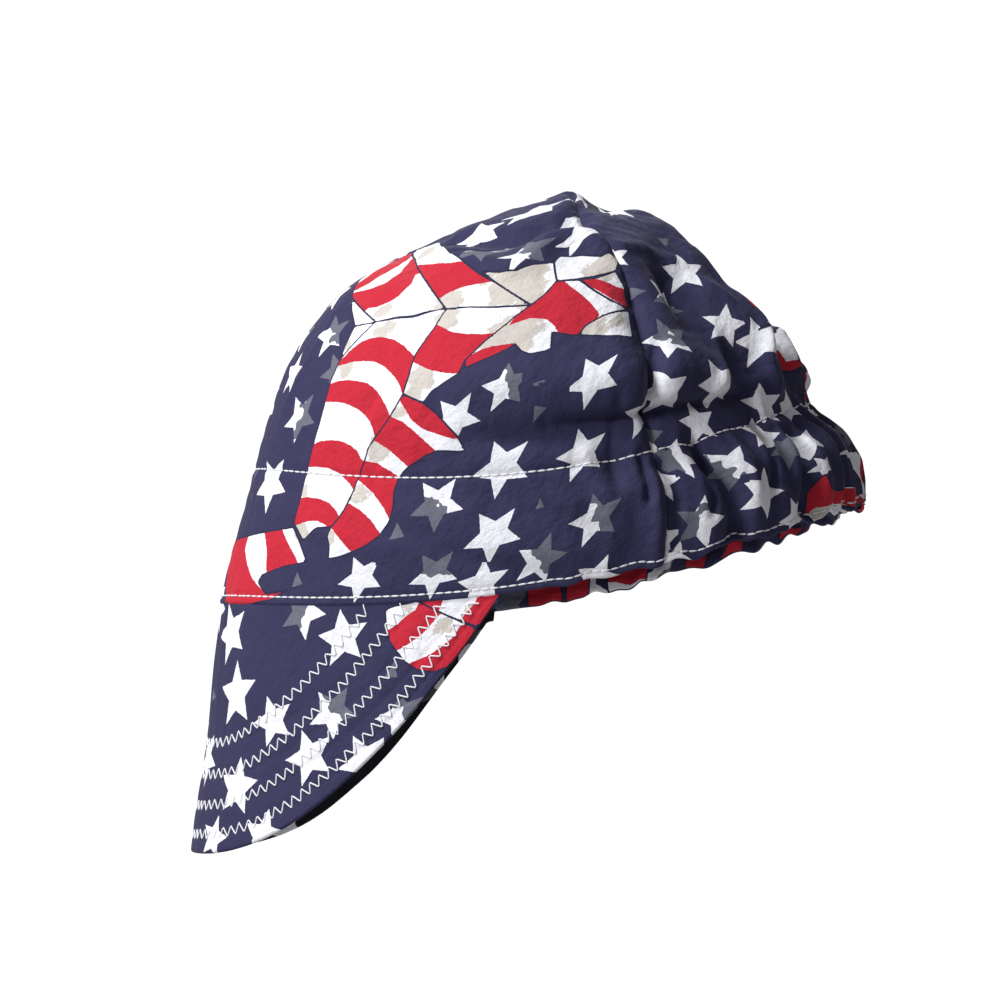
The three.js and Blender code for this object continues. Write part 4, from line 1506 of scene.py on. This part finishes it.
@dataclass(frozen=True)
class Peak:
    """The soft peak: layers of cloth quilted together, sewn under the front of the rim.

    Its sag on the far side comes and goes between shares of the reach, and its lean is in degrees.
    """

    depth: float = 73.9
    end_depth: float = 3.0
    reach: float = 82.0
    lean: float = 15.0
    flare: float = 0.04
    curve: float = 1.8
    far_sag: float = 3.4
    sag_start: tuple[float, float] = (0.06, 0.45)
    sag_end: tuple[float, float] = (0.58, 0.86)
    cloth: float = 1.6
    tuck: float = 1.6
    columns: int = 260
    rows: int = 90
    line_points: int = 1400
    edge_height: float = 0.8
    thinnest_share: float = 0.02
    row_offsets: tuple[float, ...] = (5.6, 14.2, 23.4, 32.8)
    quilt_depth: float = 0.22
    quilt_width: float = 1.6
    swell: float = 0.45
    swell_length: float = 60.0
    swell_start: float = 18.0
    swell_seed: int = 12

    def angles(self, form: CrownForm, count: int) -> np.ndarray:
        """Angles from one end of the peak to the other."""
        end = math.acos(1 - 2 * self.reach / form.opening_length)
        return np.linspace(-end, end, count)

    def hang(self, form: CrownForm, angle: np.ndarray) -> np.ndarray:
        """How far the peak hangs below the rim at each angle."""
        back = form.smooth(angle, 0.0)[..., 1] + form.opening_length / 2
        share = np.clip(back / self.reach, 0, 1)
        hang = np.maximum(self.depth * (1 - share**self.curve), self.end_depth)
        shown = smoothstep(share, *self.sag_start) * (1 - smoothstep(share, *self.sag_end))
        return hang + np.where(angle < 0, self.far_sag * shown, 0)

    def directions(self, form: CrownForm, angle: np.ndarray) -> tuple[np.ndarray, np.ndarray]:
        """The way down the peak and the way out of its face."""
        lean = math.radians(self.lean)
        down = unit(np.stack([self.flare * np.sin(angle), np.full_like(angle, -math.sin(lean)),
                              np.full_like(angle, -math.cos(lean))], axis=-1))
        return down, unit(np.cross(down, form.run(angle, 0.0)))

    def surface(self, form: CrownForm, angle: np.ndarray, drop: np.ndarray,
                out: float | np.ndarray) -> np.ndarray:
        """Points of the peak.

        Args:
            form: the crown that it hangs from.
            angle: radians from the front.
            drop: millimetres below the rim.
            out: millimetres out from the middle of its cloth.

        Returns:
            The points, with the quilting and soft waves in them.
        """
        down, outward = self.directions(form, angle)
        place = form.folded(angle, 0.0, form.rim_roll) + down * drop[..., None]
        from_edge = self.hang(form, angle) - drop
        quilt = sum(bell(from_edge - offset, self.quilt_width) for offset in self.row_offsets)
        waves = drift(place, self.swell_length, self.swell_seed) * smoothstep(drop, 0, self.swell_start)
        return place + outward * (out + self.swell * waves - self.quilt_depth * quilt)[..., None]

    def sheet(self, form: CrownForm) -> Sheet:
        """The peak's cloth, from its lower edge up to where it is tucked behind the rim."""
        angle = self.angles(form, self.columns)
        hang = self.hang(form, angle)
        share = np.linspace(0, 1, self.rows)[:, None]
        body = self.edge_height + (hang - self.edge_height + self.tuck) * share
        edge = np.broadcast_to(np.array(EDGE_STEPS)[:, None], (len(EDGE_STEPS), self.columns))
        from_edge = np.concatenate([edge, body])
        drop = hang - from_edge
        angles = np.broadcast_to(angle, drop.shape)
        half = self.cloth / 2
        rounded = half * np.sqrt(1 - (1 - np.clip(from_edge / half, self.thinnest_share, 1)) ** 2)
        arc = arc_length(form.smooth(angle, 0.0))
        flat = np.stack([np.broadcast_to(arc - arc[len(arc) // 2], drop.shape), -drop], axis=-1)
        face, back = (self.surface(form, angles, drop, out) for out in (rounded, -rounded))
        return Sheet(face, back, flat)

    def row_line(self, form: CrownForm, offset: float) -> tuple[np.ndarray, np.ndarray]:
        """Angles and drops along a line that keeps its distance from the peak's outer edge."""
        angle = self.angles(form, self.line_points)
        arc = arc_length(form.smooth(angle, 0.0))
        arc -= np.interp(0.0, angle, arc)
        edge = np.stack([arc, -self.hang(form, angle)], axis=-1)
        run = np.gradient(edge, axis=0)
        line = edge + unit(np.stack([-run[:, 1], run[:, 0]], axis=-1)) * offset
        line = line[(line[:, 1] < -self.edge_height) & (np.abs(line[:, 0]) < arc[-1])]
        return np.interp(line[:, 0], arc, angle), -line[:, 1]


class StitchTree(Graph):
    """A Geometry Nodes tree that sews thread along a path, with named sizes as its inputs."""

    def __init__(self, name: str, sizes: tuple[str, ...]) -> None:
        """Starts a tree with inputs for the path, the sizes and the thread's finish."""
        super().__init__(bpy.data.node_groups.new(name, "GeometryNodeTree"))
        inputs = (("Geometry", "Geometry"), *((size, "Float") for size in sizes), ("Thread", "Material"))
        for label, kind in inputs:
            self.tree.interface.new_socket(label, in_out="INPUT", socket_type=f"NodeSocket{kind}")
        self.tree.interface.new_socket("Geometry", in_out="OUTPUT", socket_type="NodeSocketGeometry")
        self.group = self.tree.nodes.new("NodeGroupInput")

    def given(self, label: str) -> Value:
        """One of the tree's inputs."""
        return Value(self, self.group.outputs[label])

    def spaced_path(self, step: str) -> Value:
        """The path, with points at an even step that one of the inputs gives."""
        curve = self.add("GeometryNodeMeshToCurve", {}, {"Mesh": self.given("Geometry")})
        return self.add("GeometryNodeResampleCurve", {"mode": "LENGTH"},
                        {"Curve": curve, "Length": self.given(step)})

    def end(self, sewn: Value) -> bpy.types.NodeTree:
        """Ends the tree with Realize Instances and Set Material."""
        real = self.add("GeometryNodeRealizeInstances", {}, {"Geometry": sewn})
        dressed = self.add("GeometryNodeSetMaterial", {},
                           {"Geometry": real, "Material": self.given("Thread")})
        self.feed(self.tree.nodes.new("NodeGroupOutput").inputs[0], dressed)
        return self.tree


class Stray(NamedTuple):
    """How a row wanders: how high as a share of the way up, how often for each radian, and its shift."""

    height: float
    rate: float
    shift: float


@dataclass(frozen=True)
class StitchRows:
    """Rows of white thread, made by Geometry Nodes along paths on the cloth."""

    stitch: float = 2.9
    pitch: float = 2.7
    radius: float = 0.29
    proud: float = 0.10
    path_points: int = 900
    straying: tuple[float, float] = (1.4, 2.1)
    band_stray: Stray = Stray(0.0022, 23, 0.0)
    rim_stray: Stray = Stray(0.0016, 19, 1.0)
    zigzag_radius: float = 0.24
    zigzag_pitch: float = 3.7
    zigzag_width: float = 3.2
    zigzag_step: float = 0.62
    uneven_width: tuple[float, float] = (0.88, 1.08)
    uneven_pitch: float = 0.12
    points_each_turn: int = 6

    def straight_tree(self) -> bpy.types.NodeTree:
        """Nodes that lay one slim stitch after another along a path."""
        tree = StitchTree("straight_stitches", ("Pitch", "Stitch", "Radius"))
        along = tree.add("GeometryNodeInputTangent")
        turned = tree.add("FunctionNodeAlignRotationToVector", {"axis": "X"}, {"Vector": along})
        bead = tree.add("GeometryNodeMeshUVSphere", {}, {"Segments": 6, "Rings": 5, "Radius": 1.0}, "Mesh")
        half, radius = tree.given("Stitch") * 0.5, tree.given("Radius")
        size = tree.add("ShaderNodeCombineXYZ", {}, {"X": half, "Y": radius, "Z": radius})
        return tree.end(tree.add("GeometryNodeInstanceOnPoints", {}, {
            "Points": tree.spaced_path("Pitch"), "Instance": bead, "Rotation": turned, "Scale": size}))

    def zigzag_tree(self) -> bpy.types.NodeTree:
        """Nodes that run one round thread along a path."""
        tree = StitchTree("zigzag_thread", ("Radius", "Step"))
        section = tree.add("GeometryNodeCurvePrimitiveCircle", {},
                           {"Resolution": 6, "Radius": tree.given("Radius")}, "Curve")
        return tree.end(tree.add("GeometryNodeCurveToMesh", {}, {
            "Curve": tree.spaced_path("Step"), "Profile Curve": section, "Fill Caps": True}))

    def sew(self, name: str, paths: list[np.ndarray], closed: bool, tree: bpy.types.NodeTree,
            sizes: dict[str, float], thread: bpy.types.Material) -> bpy.types.Object:
        """Runs a tree on paths and keeps the result as a plain mesh.

        Args:
            name: the new piece's name.
            paths: the points of each path, in order.
            closed: whether each path's end meets its start.
            tree: the stitching's nodes.
            sizes: the tree's inputs, in millimetres.
            thread: the finish.

        Returns:
            The piece, with the stitches as its mesh and no modifier.
        """
        vertices, edges = [], []
        for path in paths:
            first, count = len(vertices), len(path)
            vertices.extend((path * METRES).tolist())
            edges.extend((first + k, first + (k + 1) % count) for k in range(count if closed else count - 1))
        line = bpy.data.meshes.new(name)
        line.from_pydata(vertices, edges, [])
        piece = add_object(name, line)
        modifier = piece.modifiers.new("stitching", "NODES")
        modifier.node_group = tree
        given = {label: size * METRES for label, size in sizes.items()} | {"Thread": thread}
        for item in tree.interface.items_tree:
            if item.in_out == "INPUT" and item.name in given:
                modifier[item.identifier] = given[item.name]
        graph = bpy.context.evaluated_depsgraph_get()
        sewn = bpy.data.meshes.new_from_object(piece.evaluated_get(graph))
        piece.modifiers.remove(modifier)
        piece.data = sewn
        bpy.data.meshes.remove(line)
        sewn.polygons.foreach_set("use_smooth", np.ones(len(sewn.polygons), bool))
        return piece

    def row(self, form: CrownForm, line: float, stray: Stray) -> np.ndarray:
        """Path of a row right round the cap, which strays up and down where the cloth is gathered.

        Args:
            form: the crown that it is sewn on.
            line: the share of the way up that it keeps to.
            stray: how it strays from that.

        Returns:
            The path's points.
        """
        angle = np.linspace(-math.pi, math.pi, self.path_points, endpoint=False)
        wander = stray.height * np.sin(angle * stray.rate + stray.shift)
        return form.folded(angle, line + wander * smoothstep(np.abs(angle), *self.straying), -self.proud)

    def zigzag(self, form: CrownForm, peak: Peak, offset: float) -> np.ndarray:
        """Path of one zigzag row, at a distance from the peak's outer edge."""
        angle, drop = peak.row_line(form, offset)
        arc = arc_length(peak.surface(form, angle, drop, peak.cloth / 2))
        turns = int(arc[-1] / self.zigzag_pitch * 2)
        rng = np.random.default_rng(int(offset * 10))
        sway = np.where(np.arange(turns + 1) % 2, 0.5, -0.5) * self.zigzag_width
        sway = sway * rng.uniform(*self.uneven_width, turns + 1)
        uneven = rng.uniform(-self.uneven_pitch, self.uneven_pitch, turns + 1) * self.zigzag_pitch / 2
        fine_arc = np.linspace(0, arc[-1], turns * self.points_each_turn + 1)
        wave = np.interp(fine_arc, np.linspace(0, arc[-1], turns + 1) + uneven, sway)
        angle, drop = np.interp(fine_arc, arc, angle), np.interp(fine_arc, arc, drop)
        points = peak.surface(form, angle, drop, peak.cloth / 2 + self.proud)
        _, outward = peak.directions(form, angle)
        return points + np.cross(outward, unit(np.gradient(points, axis=0))) * wave[:, None]


class Lamp(NamedTuple):
    """A square soft light that points at the cap, in metres and watts."""

    name: str
    place: tuple[float, float, float]
    side: float
    power: float

    def light(self) -> None:
        """Adds the lamp to the scene."""
        data = bpy.data.lights.new(self.name, "AREA")
        data.size = self.side
        data.energy = self.power
        aim = Vector(self.place).to_track_quat("Z", "Y").to_matrix().to_4x4()
        add_object(self.name, data).matrix_world = Matrix.Translation(self.place) @ aim


LAMPS = (
    Lamp("key", (0.50, -0.75, 1.75), 0.45, 34.0),
    Lamp("front_fill", (1.15, -1.25, 0.66), 0.45, 21.0),
    Lamp("far_fill", (-1.40, 0.30, 1.10), 0.9, 10.0),
)


@dataclass(frozen=True)
class Studio:
    """A grey floor well below the cap, a white surround and soft lights, in metres."""

    floor_drop: float = 0.36
    floor_side: float = 4.4
    backdrop: float = 1.08
    room: float = 0.17
    backdrop_edge: tuple[float, float] = (-0.97, -0.70)

    def build(self, sight: Sight) -> None:
        """Adds the camera, the floor, the surround and the lights."""
        sight.camera()
        half = self.floor_side / 2
        corners = [(x * half, y * half, -self.floor_drop) for x, y in ((-1, -1), (1, -1), (1, 1), (-1, 1))]
        mesh = bpy.data.meshes.new("floor")
        mesh.from_pydata(corners, [], [(0, 1, 2, 3)])
        mesh.materials.append(GreyPaper().make("grey_paper"))
        add_object("floor", mesh)
        self.surround()
        for lamp in LAMPS:
            lamp.light()
        bpy.context.scene.view_settings.view_transform = "Standard"

    def surround(self) -> None:
        """A white backdrop beyond the cap's right, and a dimmer room on its left."""
        world = bpy.data.worlds.new("surround")
        world.use_nodes = True
        graph = Graph(world.node_tree)
        x, _, _ = graph.numbers(graph.add("ShaderNodeTexCoord", output="Generated"))
        strength = graph.add("ShaderNodeMapRange", {"interpolation_type": "SMOOTHSTEP"}, {
            "Value": x, "From Min": self.backdrop_edge[0], "From Max": self.backdrop_edge[1],
            "To Min": self.backdrop, "To Max": self.room})
        background = world.node_tree.nodes["Background"]
        background.inputs["Color"].default_value = (1.0, 1.0, 1.0, 1.0)
        graph.feed(background.inputs["Strength"], strength)
        bpy.context.scene.world = world


@dataclass
class WeldingCap:
    """The whole cap, piece by piece."""

    form: CrownForm
    sight: Sight
    cottons: Cottons

    def dress(self, node: str, sheet: Sheet, design: Print, back: bpy.types.Material) -> None:
        """Makes the printed cloth that stands for a solid.

        Args:
            node: the solid's name.
            sheet: the cloth's points.
            design: its print.
            back: the finish of its other side.
        """
        adopt(wall_object(f"{node}_cloth", sheet, design, self.cottons.printed, back), node)

    def gores(self) -> None:
        """Builds the four gores. The right ones carry the left front gore's print, turned half round."""
        front = None
        for is_rear, marks in ((False, FRONT_MARKS), (True, REAR_MARKS)):
            left, right = Gore(Side.LEFT, is_rear), Gore(Side.RIGHT, is_rear)
            sheet = left.sheet(self.form)
            design = Print.from_marks(sheet, self.sight, Side.LEFT, marks)
            front = front or design
            other = front.turned(sheet.flat[len(sheet.flat) // 3, left.columns // 2])
            design.scatter(sheet.unseen(self.sight), PRINT_SEED + is_rear)
            self.dress(left.name, sheet, design, self.cottons.back)
            sheet = right.sheet(self.form)
            other.scatter(sheet.flat.reshape(-1, 2), PRINT_SEED + 2 + is_rear)
            self.dress(right.name, sheet, other, self.cottons.back)

    def hem(self) -> None:
        """Builds the hem turned up inside the rim."""
        sheet = TurnedHem().sheet(self.form)
        design = Print.from_marks(sheet, self.sight, Side.RIGHT, HEM_MARKS)
        design.scatter(sheet.flat.reshape(-1, 2), PRINT_SEED + 5)
        self.dress("turned_hem", sheet, design, self.cottons.back)

    def peak(self) -> None:
        """Builds the peak, with its print and its zigzag rows."""
        peak = Peak()
        sheet = peak.sheet(self.form)
        design = Print.from_marks(sheet, self.sight, Side.LEFT, PEAK_MARKS)
        design.scatter(sheet.unseen(self.sight), PRINT_SEED + 6)
        # The peak's underside takes the darker copy of the print, painted shade for the shadow under the
        # peak.
        self.dress("peak", sheet, design, self.cottons.underside_painted_shade)
        rows = StitchRows()
        paths = [rows.zigzag(self.form, peak, offset) for offset in peak.row_offsets]
        sizes = {"Radius": rows.zigzag_radius, "Step": rows.zigzag_step}
        zigzags = rows.sew("peak_zigzags", paths, False, rows.zigzag_tree(), sizes, self.cottons.thread)
        adopt(zigzags)

    def stitching(self) -> None:
        """Sews the rows along the band and the rim."""
        rows = StitchRows()
        tree = rows.straight_tree()
        sizes = {"Pitch": rows.pitch, "Stitch": rows.stitch, "Radius": rows.radius}
        paths = {
            "band_stitches": rows.row(self.form, self.form.band_line, rows.band_stray),
            "rim_stitches": rows.row(self.form, self.form.rim_line, rows.rim_stray),
        }
        for name, path in paths.items():
            adopt(rows.sew(name, [path], True, tree, sizes, self.cottons.thread))


def main() -> None:
    """Builds the cap in its studio and reports each piece."""
    logging.basicConfig(level=logging.INFO, format="%(name)s: %(message)s")
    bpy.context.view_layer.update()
    sight = Sight()
    Studio().build(sight)
    cap = WeldingCap(CrownForm(), sight, Cottons.make())
    cap.gores()
    cap.hem()
    cap.peak()
    cap.stitching()


if __name__ == "__main__":
    main()
